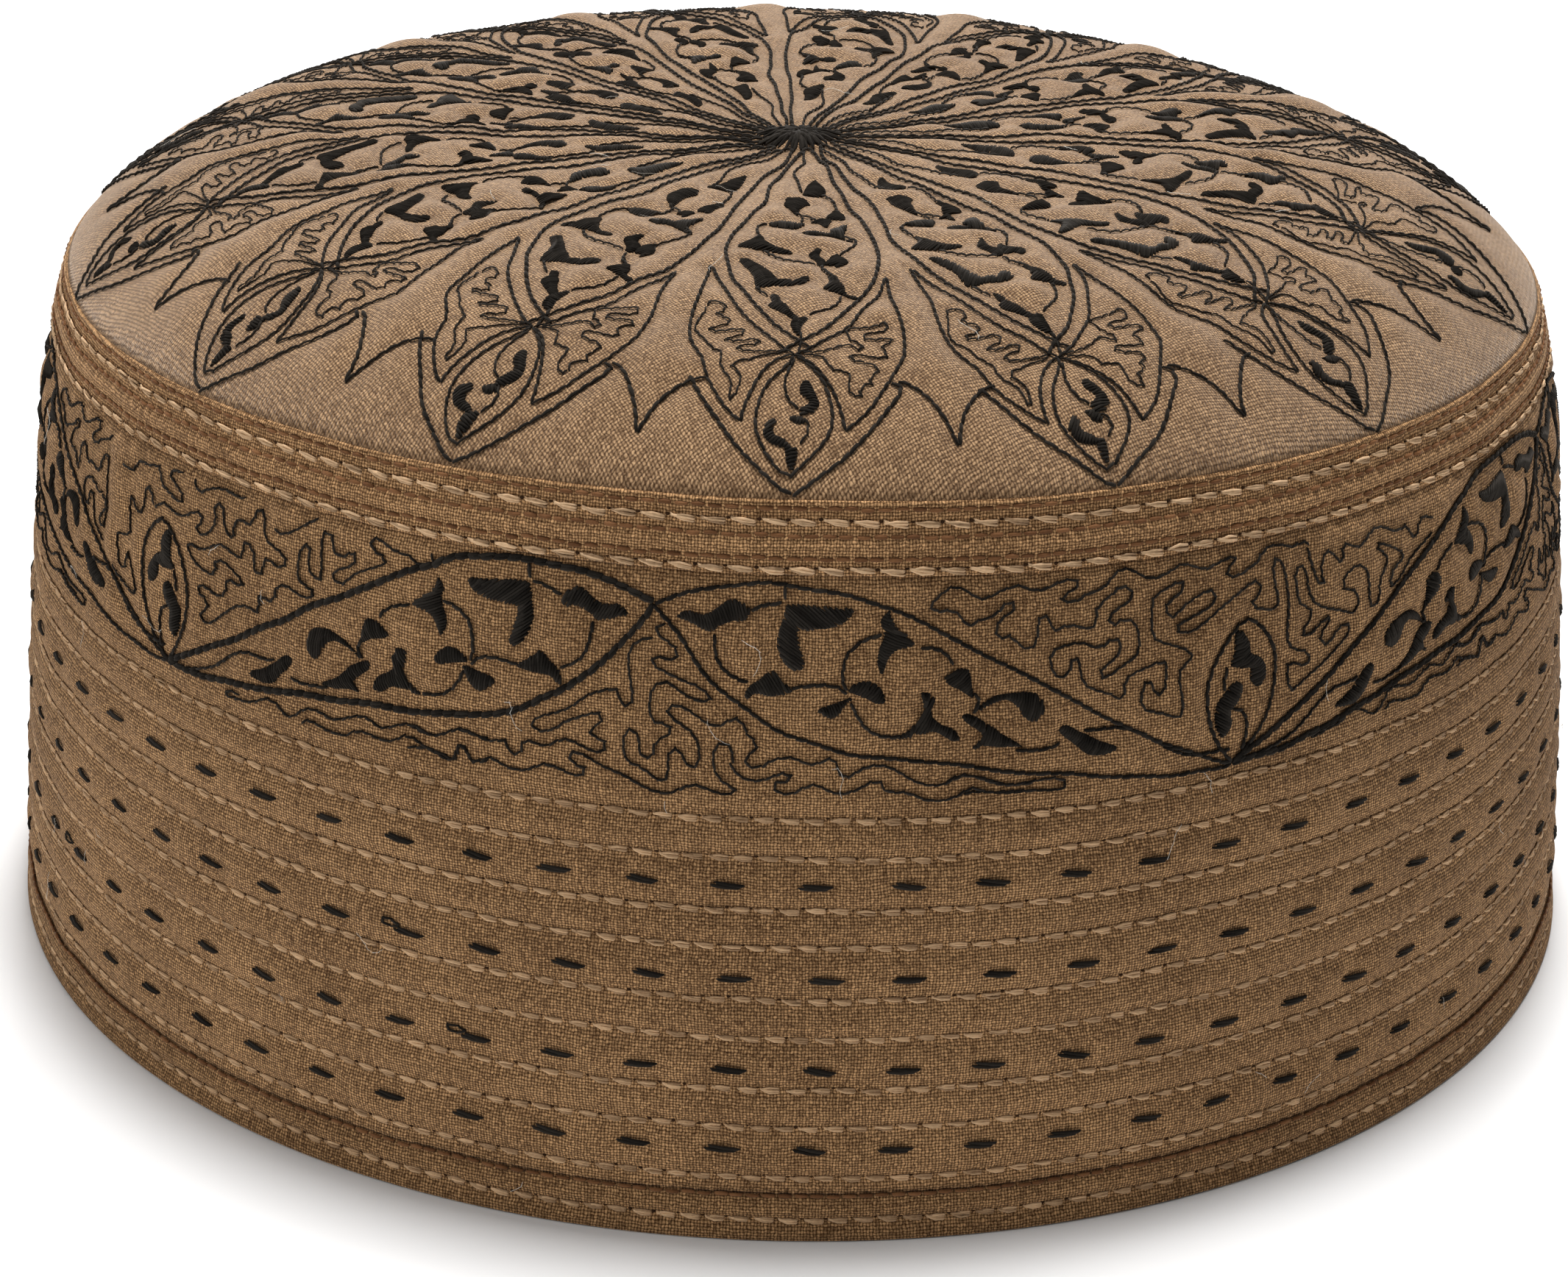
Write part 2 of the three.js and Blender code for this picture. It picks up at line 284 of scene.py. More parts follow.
# Sheets of the frieze's meander: units round and up, and where each sheet's left edge lies
MEANDER_TURN = 0.105
MEANDER_RISE = 5 / 29.69
MEANDER_TOP = 76.0
LEFT_SHEET = -62.0
MIDDLE_SHEET = -26.0
RIGHT_SHEET = 8.0
FOOT_MEANDER = strokes("""
276,26 277,23.6 270,22.4 262,25.6 252,22 238,21 230,30 222,32 216,36 208,35.6 208,30 217,23.6 212,21.6 202,24
192,28 184,25 174,21 164,24 154,27 148,26 140,21 132,19 124,23 118,28 108,30 100,36 91,34.4 91,30 100,27
103,22 94,19.6 86,24 76,27 68,25 62,21 50,23.6 40,29.6 32,26 22,21 12,25 7,30 7.6,35.6 17,35 24,36 27,42
32,46 36,41 48,38 54,32 61,31.6 62,37 52,41 47,46 48,52 55,52.4 60,51 63.6,58 69,63.6 73,60 74.4,48 75,41
82,40 85,48 87,53 96,49 109,52.4 113,47 114,40 115,37 124,36 130,30 138,31 138,37 128,41 122.4,47 125,54
132,50 140,53 141.6,64 142,72 134,78 124,85 116,86 115.6,78 126,73 131,66 128,60 120,65 114,67 104,60 94,60
85,64 84,72 86,80 92,82 95,77 96,69 102,69 104,80 106,88 114,93 124,96 132,101 133,92 136,87 148,83 160,79
161,88 162,98 160,103.6 154,102 152,94 148,90 144.4,96 143.6,104 149,111 160,114 170,120 172.4,112 171.6,100
172,88 182,81 172,74 160,68 153,64 152.4,50 153,38 164,34 174,30 178,34 174,40 163,43 161.6,50 166,54 174,48
186,43 196,40 199,45 196,50 184,54 174,58 168,61 174,64.4 182,64 200,54 216,46 230,39.6 234,44 232,50
226,52.4 230,58 240,60 246,62 247,54 244,44 245,30 251,29 254,40 255,60 255.6,86 266,93 273,96 271,104
262,102 256,98 255.6,118 266,114 284,106 298,98 310,90 310,86 304,84 298,87 290,94 284,93 282,86 290,82
292,76 286,77 278,82 269,85 266,80 275,74 276,69 267,64 264,58 263.6,50 262,40 266,38 272,40 273,52 277,62
288,69 300,74 314,80 317,78 318,68 316,64 306,61 301,59 304,54 314,48 324,49 327,58 328,78 334,80 338,74
338,62 348,52 346,48 338,43 338,39 350,42 364,50 365,55 352,60 348,70 360,66 372,58 386,52 398,45; 276,26
277,36 279,46 282,54 288,55 286,46 287,34 293,31 296,36 300,43 306,43 305,32 310,31 316,35.6 326,33 336,28
346,30 358,36 370,32 374,38 378,45 383,42 383,34 392,34 400,36
""")
LEFT_FOOT_MEANDER = strokes("""
108,51 120,44 130,48 142,49 152,42 160,40 163.6,45 158,50 154,53 158,55.6 166,54 174,47 176,40 173,33
176,29.6 182,31 183,41 188,48 194,49.6 193.6,37 202,36 210,37 212,26 217,23 221,27 221,38 226,44 238,48
243.6,53 238,57 230,54 226,51 222,58 223,66 215,66 214,53 208,48 203,48 203,60 192,58 180,56 172,61 160,65
148,63 149,69 160,75 172,78 180,77 177,68 186,66 196,69 207,75 202,79 190,77 189,88 182,90 172,87 162,88
161,94 172,97 173,103 166,104 167,109 176,110 184,104 200,92 212,89 220,92 222,88 219,81 222,78 234,81 236,69
244,67 256,72 264,70 268,66 262,63 254,60 253,42 258,37 262,40 261,50 270,57 272,53 270,40 271,27 276,25
280,28 279,36 288,38 294,32 298,36 296,43 282,48 281,54 286,57 296,48 308,41 320,35 320,32 309,30 307,24
314,21 324,25 336,26 340,31 348,32; 149,21 151,27 158,29 166,23 180,19.6 192,23 200,22; 136,21 124,22 121,25
128,29 138,34 141.6,37 138,41 128,38 118,36 112,33 110,23.6 100,26 86,27 81,30 80,36 74,38 70,36 65,34;
108,51 104,42 96,40 95,52 94,60 88,61 83,54 80,51 76,56 79,64 80,74 82,79 72,82 64,81 61,85 65,92 64,100
70,106 77,104 77,91 84,100 88,109 91,116 88,119 74,115 62,112 58,106; 230,32 233,35 240,34 250,29 260,22
266,19; 354,23 355,30
""")
TOP_MEANDER_LEFT = strokes("""
398,134 388,133 378,130.4 370,135 362,138.4 354,138 344,134.4 332,138 324,141.6 316,138 309,136.4 300,139
288,145 280,143.6 270,142 262,144 258,149 250,153 244,150 238,146 230,145.6 222,149 218,152 202,153.6 197,156
192,153 195,149.6 206,151; 398,149 390,151 386,150 383,141 377,141 376,151 372,152.4 360,149 352,147 342,142
330,148 312,146 304,147 296,153 280,153 270,150 264,151 261,153.6
""")
TOP_MEANDER = strokes("""
168,48 161,49 161.6,53 166,57 172,59 177,65 172,70 164,68 159,69.6 160,74 168,77 180,81 190,84 197,92 197,95
188,94 178,90 172,85 167,82 161,85 160,94 161,109 168,110 174,115 164,120 163,130 157,133 153,131 151.4,118
148,115 144.4,116 144.4,132 148,137 156,139 162,145 169,147 171.4,140 171,128 174,123.6 179,125 182,134
187,137 190,133 188,116 180,109 170,103 169,99 174,97 182,100 192,105 202,108.4 209,102.4 216,103 216,110
222,116 228,120 226,124 219,127 218,132 225,134.4 232,129 246,126.4 258,132.4 268,127 274,128 275,135 280,139
290,133 302,132 312,136 324,143 340,145 352,140 366,143 380,148 398,149; 209.6,132 209,120 202,119.6 200,128
201,140 207,144 214,148 210,151 200,151 190,147 180,149 174,153.6 162,153 152,149 140,143.6 128,140 120,136
112,133 108,137 112,141 120,142 119.4,148 114,149.6 104,147 92,143 80,149 68,150 57,146 44,151 41,141 34,141
34,149 31,153 24,150 12,147 0,149; 209.6,132 216,140 226,142 238,137 246,135 248,140 246,143 237,143 237,149
246,151 260,143 276,149 290,145 298,141 303,143 304,150 318,149 328,153.6 344,154 358,148 370,153 398,153;
160,57 152,58 148,62 145.6,67 146,80 148,92 147,100 143,101.6 140,99 139,91 130,93 120,96 110,104 100,110
90,114 84,118 84,123 92,123 100,120 104,116 112,112 120,108 128,105 131,109 128,115 121,118 121,122 128,124.4
133,126 131,131 124,131.6 116,128 106,126 96,132 86,132 78,130 77,141 70,141 68.4,131 58,134 48,133 36,131
28,134 20,138 12,138 0,134
""")
TOP_MEANDER_RIGHT = strokes("""
18,144 30,140 40,143 60,148 84,147 92,147 96,152 90,154 76,153.6 60,153.2 40,151 28,153
""")
# Knots of the frieze round the cap: feet and tops take turns
FRIEZE_KNOTS = [
    dict(zip(("turn", "height", "foot"), row)) for row in (
        (-87.6, 70.0, False),
        (-48.3, 50.7, True),
        (-9.3, 70.0, False),
        (30.3, 49.4, True),
        (69.6, 70.0, False),
        (103.4, 50.0, True),
        (137.2, 70.0, False),
        (171.0, 50.0, True),
        (204.8, 70.0, False),
        (238.6, 50.3, True),
    )
]


def smooth(points, step, closed=False):
    """A soft curve through the points, with a sample about every step."""
    count = len(points)
    spans = count if closed else count - 1
    if closed:
        extended = [points[-1:], points, points[:2]]
    else:
        extended = [2 * points[:1] - points[1:2], points, 2 * points[-1:] - points[-2:-1]]
    p = np.concatenate(extended)
    curve = []
    for i in range(spans):
        a, b, c, d = p[i:i + 4]
        samples = max(1, int(np.ceil(np.hypot(*(c - b)) / step)))
        t = (np.arange(samples) / samples)[:, None]
        bend = 2 * a - 5 * b + 4 * c - d
        twist = 3 * b - a - 3 * c + d
        curve.append(b + 0.5 * t * ((c - a) + t * (bend + t * twist)))
    if not closed:
        curve.append(points[-1:])
    return np.concatenate(curve)


# Petals: from the chart to the crown
def petal_angles(index):
    """Axis and half widths of a petal at the three charted radii, in degrees."""
    def column(name, at):
        laps, place = divmod(at, len(PETALS))
        return PETALS[place][name] + 360 * laps

    edges = [column("edge", index), column("edge", index + 1)]
    rows = [[edges[0], (edges[0] + edges[1]) / 2, edges[1]]]
    for name in ("node", "tip"):
        here = column(name, index)
        rows.append([(column(name, index - 1) + here) / 2, here, (column(name, index + 1) + here) / 2])
    return np.array(rows)


def to_petal(points, index):
    """Chart points, across and outward, laid in a petal: flat crown coordinates."""
    opened = CHART_START + CHART_SCALE * points
    opened[:, 1] -= CHART_CLOSING * points[:, 1] ** 3
    r = np.hypot(opened[:, 0], opened[:, 1])
    angle = np.degrees(np.arctan2(opened[:, 0], opened[:, 1]))
    radii = [EDGE_AT, NODE_AT, TIP_AT]

    def at(table, column):
        return np.interp(r, radii, table[:, column])

    charted, here = petal_angles(CHARTED_PETAL), petal_angles(index)
    axis = at(charted, 1)
    half = np.where(angle < axis, axis - at(charted, 0), at(charted, 2) - axis)
    share = (angle - axis) / half
    new_axis = at(here, 1)
    new_half = np.where(angle < axis, new_axis - at(here, 0), at(here, 2) - new_axis)
    turned = np.radians(new_axis + share * new_half)
    heading = around(turned, 1, 0)[:, :2]
    # The points reach the seam all round, although the pattern's middle isn't the crown's
    along = heading @ PATTERN_MIDDLE
    seam = np.sqrt(along ** 2 + CROWN_EDGE ** 2 - PATTERN_MIDDLE @ PATTERN_MIDDLE) - along
    cross = PETALS[index]["cross"] - NODE_AT
    further = np.clip((r - NODE_AT) / (TIP_AT - NODE_AT), 0, 1)
    r = r + cross * np.clip((r - EDGE_AT) / (NODE_AT - EDGE_AT), 0, 1) * (1 - further)
    r = r + (seam - TIP_CLEARANCE - TIP_AT) * further
    return PATTERN_MIDDLE + heading * r[:, None]


def from_sheet(lines, sheet):
    return [line / SHEET_SCALE + sheet for line in lines]


# Frieze: from the chart to the unrolled band
def wavering(points, amount, scale):
    """Hand-sewn lines stray a little: a slow random sideways drift."""
    reach = np.cumsum(np.hypot(*np.diff(points, axis=0, prepend=points[:1]).T))
    phase = rng.uniform(0, math.tau, (2, 2))
    pace = rng.uniform(0.7, 1.3, (2, 2)) * math.tau / scale
    drift = np.sin(reach[:, None, None] * pace + phase).sum(-1)
    return points + amount * drift


def unroll(points):
    """Charted degrees and heights as unrolled millimetres; the chart was drawn before the seam drooped."""
    turn, height = points.T
    return np.stack([turn * TURN, height - SEAM_DROOP * (height / (SEAM_HEIGHT + SEAM_DROOP)) ** 2], -1)


def half_unit(points, top, foot, chart_foot, chart_heights):
    """Charted points between the chart's top knot and one foot, laid between two knots of the cap."""
    share = (points[:, 0] - CHART_TOP) / (chart_foot - CHART_TOP)
    turn = top["turn"] + share * (foot["turn"] - top["turn"])
    lift = (foot["height"] - chart_heights[1]) * share + (top["height"] - chart_heights[0]) * (1 - share)
    return np.stack([turn, points[:, 1] + lift], -1)


def knot(index):
    laps, place = divmod(index, len(FRIEZE_KNOTS))
    row = FRIEZE_KNOTS[place]
    return {**row, "turn": row["turn"] + 360 * laps}


def sheet_degrees(lines, edge):
    return [
        np.stack([edge + line[:, 0] * MEANDER_TURN, MEANDER_TOP - line[:, 1] * MEANDER_RISE], -1)
        for line in lines
    ]


def stretched(line, centre, charted, here):
    """Points about a charted knot, moved to a knot of the cap, each side as wide as its own span."""
    offset = line[:, 0] - centre
    left = (here[1] - here[0]) / (charted[1] - charted[0])
    right = (here[2] - here[1]) / (charted[2] - charted[1])
    return np.stack([here[1] + offset * np.where(offset < 0, left, right), line[:, 1]], -1)


def frieze_lines():
    """Everything sewn on the frieze: name of kind, and flat points on the unrolled band."""
    made = {"bold": [], "fine": [], "meander": [], "stem": [], "leaf": []}
    heights_left = (CHART_TOP_HEIGHT, CHART_LEFT_HEIGHT)
    heights_right = (CHART_TOP_HEIGHT, CHART_RIGHT_HEIGHT)
    for index, row in enumerate(FRIEZE_KNOTS):
        before, here, after = knot(index - 1), knot(index), knot(index + 1)
        spans = [before["turn"], here["turn"], after["turn"]]
        if row["foot"]:
            # The buds lean left and right in turn
            flip = 1 if index % 4 == 1 else -1
            lean = [flip, 1.0]
            rise = [here["turn"], here["height"] - BUD_LENS[0][0, 1]]
            for kind, lines in (("fine", BUD_LENS), ("stem", BUD_STEMS), ("leaf", BUD_LEAVES)):
                made[kind] += [line * lean + rise for line in lines]
            field = sheet_degrees(FOOT_MEANDER, RIGHT_SHEET)
            centre, charted = CHART_RIGHT_FOOT, [CHART_TOP, CHART_RIGHT_FOOT, knot(4)["turn"]]
            if index == 1:
                left_part = [line[line[:, 0] < centre - 9] for line in field[:1]]
                made["meander"] += [stretched(line, centre, charted, spans) for line in left_part]
                field = sheet_degrees(LEFT_FOOT_MEANDER, LEFT_SHEET)
                centre, charted = CHART_LEFT_FOOT, [knot(0)["turn"], CHART_LEFT_FOOT, CHART_TOP]
            made["meander"] += [stretched(line, centre, charted, spans) for line in field]
            continue
        for kind, almond, foot, chart_foot, heights in (
            ("bold", LEFT_ALMOND, before, CHART_LEFT_FOOT, heights_left),
            ("fine", RIGHT_ALMOND, after, CHART_RIGHT_FOOT, heights_right),
        ):
            made[kind] += [half_unit(line, here, foot, chart_foot, heights) for line in almond]
            width = (chart_foot - CHART_TOP) / (CHART_LEFT_FOOT - CHART_TOP)
            for part, lines in (("stem", VINE_STEMS), ("leaf", VINE_LEAVES)):
                for line in lines:
                    placed = np.stack([CHART_TOP + line[:, 0] * width, line[:, 1]], -1)
                    made[part].append(half_unit(placed, here, foot, chart_foot, heights))
        field = (
            sheet_degrees(TOP_MEANDER_LEFT, LEFT_SHEET)
            + sheet_degrees(TOP_MEANDER, MIDDLE_SHEET)
            + sheet_degrees(TOP_MEANDER_RIGHT, RIGHT_SHEET)
        )
        charted = [CHART_LEFT_FOOT, CHART_TOP, CHART_RIGHT_FOOT]
        made["meander"] += [stretched(line, CHART_TOP, charted, spans) for line in field]
    return {kind: [unroll(line) for line in lines] for kind, lines in made.items()}


def crown_lines():
    """Everything sewn on the crown, in flat crown coordinates."""
    chart = {
        "bold": PETAL_LENS + PETAL_POINT + PETAL_CURTAIN,
        "fine": PETAL_SHOULDERS + PETAL_TIP,
        "meander": from_sheet(PETAL_MEANDER, OUTER_SHEET),
        "stem": from_sheet(INNER_STEMS, INNER_SHEET) + from_sheet(OUTER_STEMS, OUTER_SHEET),
        "leaf": from_sheet(INNER_LEAVES, INNER_SHEET) + from_sheet(OUTER_LEAVES, OUTER_SHEET),
    }
    made = {kind: [] for kind in chart}
    for index in range(len(PETALS)):
        for kind, lines in chart.items():
            for line in lines:
                made[kind].append(to_petal(line, index))
    return made


STRAY = {"bold": 0.05, "fine": 0.05, "meander": 0.09, "stem": 0.08, "leaf": 0.12}


def sewn_curves(lines):
    """The charted lines as soft curves that stray a little, as a hand does."""
    curves = {}
    for kind, group in lines.items():
        curves[kind] = [
            wavering(smooth(line, MARK_STEP, closed=kind == "leaf"), STRAY[kind], 9.0) for line in group
        ]
    return curves


# Relief of the cloth, in millimetres over the plain form
class Relief:
    def __init__(self, low, high):
        self.low = np.array(low)
        self.cells = np.round((np.array(high) - low) / CLOTH_CELL).astype(int)
        self.cell = (np.array(high) - low) / self.cells
        self.thread = np.zeros(self.cells)
        self.height = np.zeros(self.cells)

    def index(self, points):
        return (np.floor((points - self.low) / self.cell).astype(int)) % self.cells

    def mark(self, points, weight=1.0):
        """Adds a sewn line, as marks every MARK_STEP along it."""
        i = self.index(points)
        np.add.at(self.thread, (i[:, 0], i[:, 1]), weight * MARK_STEP / self.cell.prod())

    def blurred(self, grid, width):
        """The grid softened by a bell of that width; one straight line then peaks at 1."""
        turns = [np.fft.fftfreq(n, step) for n, step in zip(self.cells, self.cell)]
        bell = np.exp(-2 * (math.pi * width) ** 2 * np.add.outer(turns[0] ** 2, turns[1] ** 2))
        soft = np.fft.ifft2(np.fft.fft2(grid) * bell).real
        return np.maximum(soft, 0) * width * math.sqrt(math.tau) if grid is self.thread else soft

    def quilt(self, puff, groove, pillow, ripple):
        """Puffed cloth, with a narrow groove under each line, a wide hollow round it and a faint ripple."""
        groove_width, hollow_width, ripple_width = 0.5, 1.3, 1.7
        narrow = 1 - np.exp(-1.5 * self.blurred(self.thread, groove_width))
        wide = 1 - np.exp(-1.1 * self.blurred(self.thread, hollow_width))
        waves = self.blurred(rng.normal(size=self.cells), ripple_width)
        waves /= waves.std()
        self.height = puff - groove * narrow - pillow * wide + ripple * waves

    def __call__(self, points):
        """Height at flat points, softly between cells."""
        place = (points - self.low) / self.cell - 0.5
        base = np.floor(place).astype(int)
        part = place - base
        total = 0
        for i in (0, 1):
            for j in (0, 1):
                weight = np.where(i, part[:, 0], 1 - part[:, 0]) * np.where(j, part[:, 1], 1 - part[:, 1])
                cell = (base + [i, j]) % self.cells
                total = total + weight * self.height[cell[:, 0], cell[:, 1]]
        return total


MAP_MARGIN = 6.0
band_relief = Relief((-ROUND / 2, -MAP_MARGIN), (ROUND / 2, SEAM_HEIGHT + MAP_MARGIN))
crown_relief = Relief((-CROWN_EDGE - MAP_MARGIN,) * 2, (CROWN_EDGE + MAP_MARGIN,) * 2)

# The whole cap has settled: its front stands up, its back and both sides have sunk, the right side most
SUNK_RIGHT = 0.73
SUNK_SIDES = 1.565
SUNK_BACK = 1.38
SETTLED_SHIFT = np.array([0.09, -1.21])
NARROWED = 0.0048                 # narrower from side to side, and longer, by this share


def settled(points):
    """The cap isn't quite round and level. Every piece goes through this, so that they stay together."""
    x, y, z = points.T
    height = np.clip(z / (SEAM_HEIGHT + SEAM_DROOP), 0, 1.05)
    up = height ** 2
    across, back = x / RIM_RADIUS * 1.08, y / RIM_RADIUS * 1.08
    drop = SUNK_RIGHT * across + SUNK_SIDES * across ** 2 + SUNK_BACK * back
    turn = np.arctan2(x, -y)
    reach = np.minimum(np.hypot(x, y) / RIM_RADIUS, 1) ** 2
    wobble = (0.1 * np.sin(9 * turn + 2.4) + 0.06 * np.sin(17 * turn)) * reach
    lean = 0.15 * np.sin(5 * turn + 0.6) * height / RIM_RADIUS
    shift_x, shift_y = SETTLED_SHIFT
    return np.stack([
        x * (1 - NARROWED * up + lean) + shift_x * up,
        y * (1 + NARROWED * up + lean) + shift_y * up,
        z - up * drop + wobble * height,
    ], -1)


def on_band(points, lift=0.0):
    """Unrolled points as places on the band's cloth, with the way out of the cloth."""
    turn = points[:, 0] / UNROLL
    z = points[:, 1]
    r = cloth_radius(z) + band_relief(points) + lift
    return settled(around(turn, r, z)), around(turn, 1, TAPER)


def on_crown(points, lift=0.0):
    """Flat crown points as places on the crown's cloth, with the way out of the cloth."""
    r = np.hypot(points[:, 0], points[:, 1])
    reach = np.minimum(r, CROWN_EDGE)
    step = 0.3
    slope = (crown_height(reach - step) - crown_height(reach)) / step
    flattened = 1 - (reach / SEAM_RADIUS) ** 10
    z = crown_height(reach, points[:, 1]) + crown_relief(points) * flattened + lift
    away = points / np.maximum(r, 1e-6)[:, None] * slope[:, None]
    out = np.concatenate([away, np.ones((len(points), 1))], -1)
    out /= np.linalg.norm(out, axis=1)[:, None]
    return settled(np.concatenate([points, z[:, None]], -1)), out


# Meshes
def make_mesh(name, points, faces):
    """A mesh object from points in millimetres and arrays of faces."""
    mesh = bpy.data.meshes.new(name)
    mesh.vertices.add(len(points))
    mesh.vertices.foreach_set("co", (points * MM).astype(np.float32).ravel())
    corners = np.concatenate([f.ravel() for f in faces])
    sizes = np.concatenate([np.full(len(f), f.shape[1]) for f in faces])
    mesh.loops.add(len(corners))
    mesh.loops.foreach_set("vertex_index", corners.astype(np.int32))
    mesh.polygons.add(len(sizes))
    mesh.polygons.foreach_set("loop_start", (np.cumsum(sizes) - sizes).astype(np.int32))
    mesh.update(calc_edges=True)
    mesh.validate()
    mesh.shade_smooth()
    obj = bpy.data.objects.new(name, mesh)
    bpy.context.scene.collection.objects.link(obj)
    return obj


def dress(obj, material):
    obj.data.materials.append(material)
    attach(obj, "root")
    return obj


FULLNESS = {0.12: 0.78, 0.5: 1.0, 0.88: 0.78}     # of a stitch, at shares of its length
SINK = 0.25                       # the ends of a stitch go this far into the cloth


class Thread:
    """Gathers stitches that share a material and become one mesh."""

    def __init__(self, sides):
        self.sides = sides
        self.stitches = []

    def add(self, start, end, out, width, rise, bow=0.0):
        """Stitches from start to end, with the way out of the cloth; bow is how far they bend sideways."""
        count = len(start)
        columns = [np.broadcast_to(value, count)[:, None] for value in (width, rise, bow)]
        self.stitches.append(np.concatenate([start, end, out, *columns], 1))

    def mesh(self, name):
        rows = np.concatenate(self.stitches)
        start, end, out = rows[:, 0:3], rows[:, 3:6], rows[:, 6:9]
        width, rise, bow = rows[:, 9:10], rows[:, 10:11], rows[:, 11:12]
        along = end - start
        across = np.cross(along, out)
        across /= np.maximum(np.linalg.norm(across, axis=1), 1e-9)[:, None]
        up = np.cross(across, along)
        up /= np.maximum(np.linalg.norm(up, axis=1), 1e-9)[:, None]
        columns = [start - up * SINK]
        for share, full in FULLNESS.items():
            arch = 4 * share * (1 - share)
            middle = start + along * share + up * (rise * arch) + across * (bow * arch)
            for k in range(self.sides):
                angle = math.tau * k / self.sides
                ring = across * math.cos(angle) + up * (0.8 * math.sin(angle))
                columns.append(middle + ring * (width * full / 2))
        columns.append(end - up * SINK)
        points = np.stack(columns, 1)
        per = points.shape[1]
        n = self.sides
        k = np.arange(n)
        following = (k + 1) % n
        ends = [np.stack([0 * k, 1 + following, 1 + k], -1)]
        ends.append(np.stack([0 * k + per - 1, per - 1 - n + k, per - 1 - n + following], -1))
        tube = [
            1 + r * n + np.stack([k, following, n + following, n + k], -1)
            for r in range(len(FULLNESS) - 1)
        ]
        offsets = (np.arange(len(rows)) * per)[:, None, None]
        triangles = (np.concatenate(ends)[None] + offsets).reshape(-1, 3)
        quads = (np.concatenate(tube)[None] + offsets).reshape(-1, 4)
        obj = make_mesh(name, points.reshape(-1, 3), [quads, triangles])
        shade = obj.data.attributes.new("shade", "FLOAT", "POINT")
        shade.data.foreach_set("value", np.repeat(rng.random(len(rows)), per).astype(np.float32))
        return obj


def stitched(thread, points, place, pitch, width, rise, slant=0.2, overlap=0.12, lift=0.0):
    """Sews along a flat line: stitch after stitch, each laid a little askew over the last."""
    path, out = place(points, lift)
    reach = np.concatenate([[0], np.cumsum(np.linalg.norm(np.diff(path, axis=0), axis=1))])
    count = max(1, round(reach[-1] / pitch))
    ends = np.linspace(0, reach[-1], count + 1)
    ends[1:-1] += rng.normal(0, 0.08, count - 1) * pitch

    def at(where, values):
        return np.stack([np.interp(where, reach, column) for column in values.T], -1)

    start = at(ends[:-1] - overlap * pitch, path)
    end = at(ends[1:] + overlap * pitch, path)
    normal = at((ends[:-1] + ends[1:]) / 2, out)
    side = np.cross(end - start, normal)
    side /= np.maximum(np.linalg.norm(side, axis=1), 1e-9)[:, None]
    shift = side * (slant * width)
    widths = width * rng.uniform(0.9, 1.12, count)
    thread.add(start + shift, end - shift, normal, widths, rise)


def satin(thread, outline, place, pitch, width, rise):
    """Fills a closed outline with stitches laid side by side across it, fuller in the middle."""
    centre = outline.mean(0)
    spread = outline - centre
    values, axes = np.linalg.eigh(spread.T @ spread)
    tilt = rng.uniform(-0.35, 0.35)
    c, s = math.cos(tilt), math.sin(tilt)
    main = axes[:, 1] @ np.array([[c, s], [-s, c]])
    cross = np.array([-main[1], main[0]])
    u, v = spread @ main, spread @ cross
    following = np.roll(np.arange(len(u)), -1)
    low, high = np.minimum(u, u[following]), np.maximum(u, u[following])
    starts, ends = [], []
    for row in np.arange(u.min() + pitch * 0.3, u.max(), pitch):
        hit = (low <= row) & (high > row)
        part = (row - u[hit]) / (u[following][hit] - u[hit])
        where = np.sort(v[hit] + part * (v[following][hit] - v[hit]))
        for a, b in zip(where[::2], where[1::2]):
            lean = rng.normal(0, 0.08)
            starts.append(centre + main * (row + lean) + cross * (a - 0.08))
            ends.append(centre + main * (row - lean) + cross * (b + 0.08))
    if not starts:
        return
    starts, ends = np.array(starts), np.array(ends)
    start, out = place(starts)
    end, _ = place(ends)
    length = np.linalg.norm(end - start, axis=1)
    thread.add(start, end, out, width, rise + 0.09 * np.minimum(length, 3.0))


# Colour nodes
class Value:
    """A node's output. Arithmetic on it adds the math nodes that do it."""

    def __init__(self, tree, socket):
        self.tree, self.socket = tree, socket

    def into(self, socket):
        self.tree.links.new(self.socket, socket)

    def apply(self, operation, other=0.0):
        node = self.tree.nodes.new("ShaderNodeMath")
        node.operation = operation
        self.into(node.inputs[0])
        if isinstance(other, Value):
            other.into(node.inputs[1])
        else:
            node.inputs[1].default_value = other
        return Value(self.tree, node.outputs[0])

    def __add__(self, other):
        return self.apply("ADD", other)

    def __sub__(self, other):
        return self.apply("SUBTRACT", other)

    def __mul__(self, other):
        return self.apply("MULTIPLY", other)

    def noise(self, scale, detail=2.0):
        """Noise at this place."""
        node = self.tree.nodes.new("ShaderNodeTexNoise")
        self.into(node.inputs["Vector"])
        node.inputs["Scale"].default_value = scale
        node.inputs["Detail"].default_value = detail
        return Value(self.tree, node.outputs["Fac"])

    def chance(self, row):
        """A random number for this whole number and another."""
        node = self.tree.nodes.new("ShaderNodeTexWhiteNoise")
        node.noise_dimensions = "2D"
        pair = self.tree.nodes.new("ShaderNodeCombineXYZ")
        self.into(pair.inputs[0])
        if isinstance(row, Value):
            row.into(pair.inputs[1])
        else:
            pair.inputs[1].default_value = row
        self.tree.links.new(pair.outputs[0], node.inputs["Vector"])
        return Value(self.tree, node.outputs["Value"])


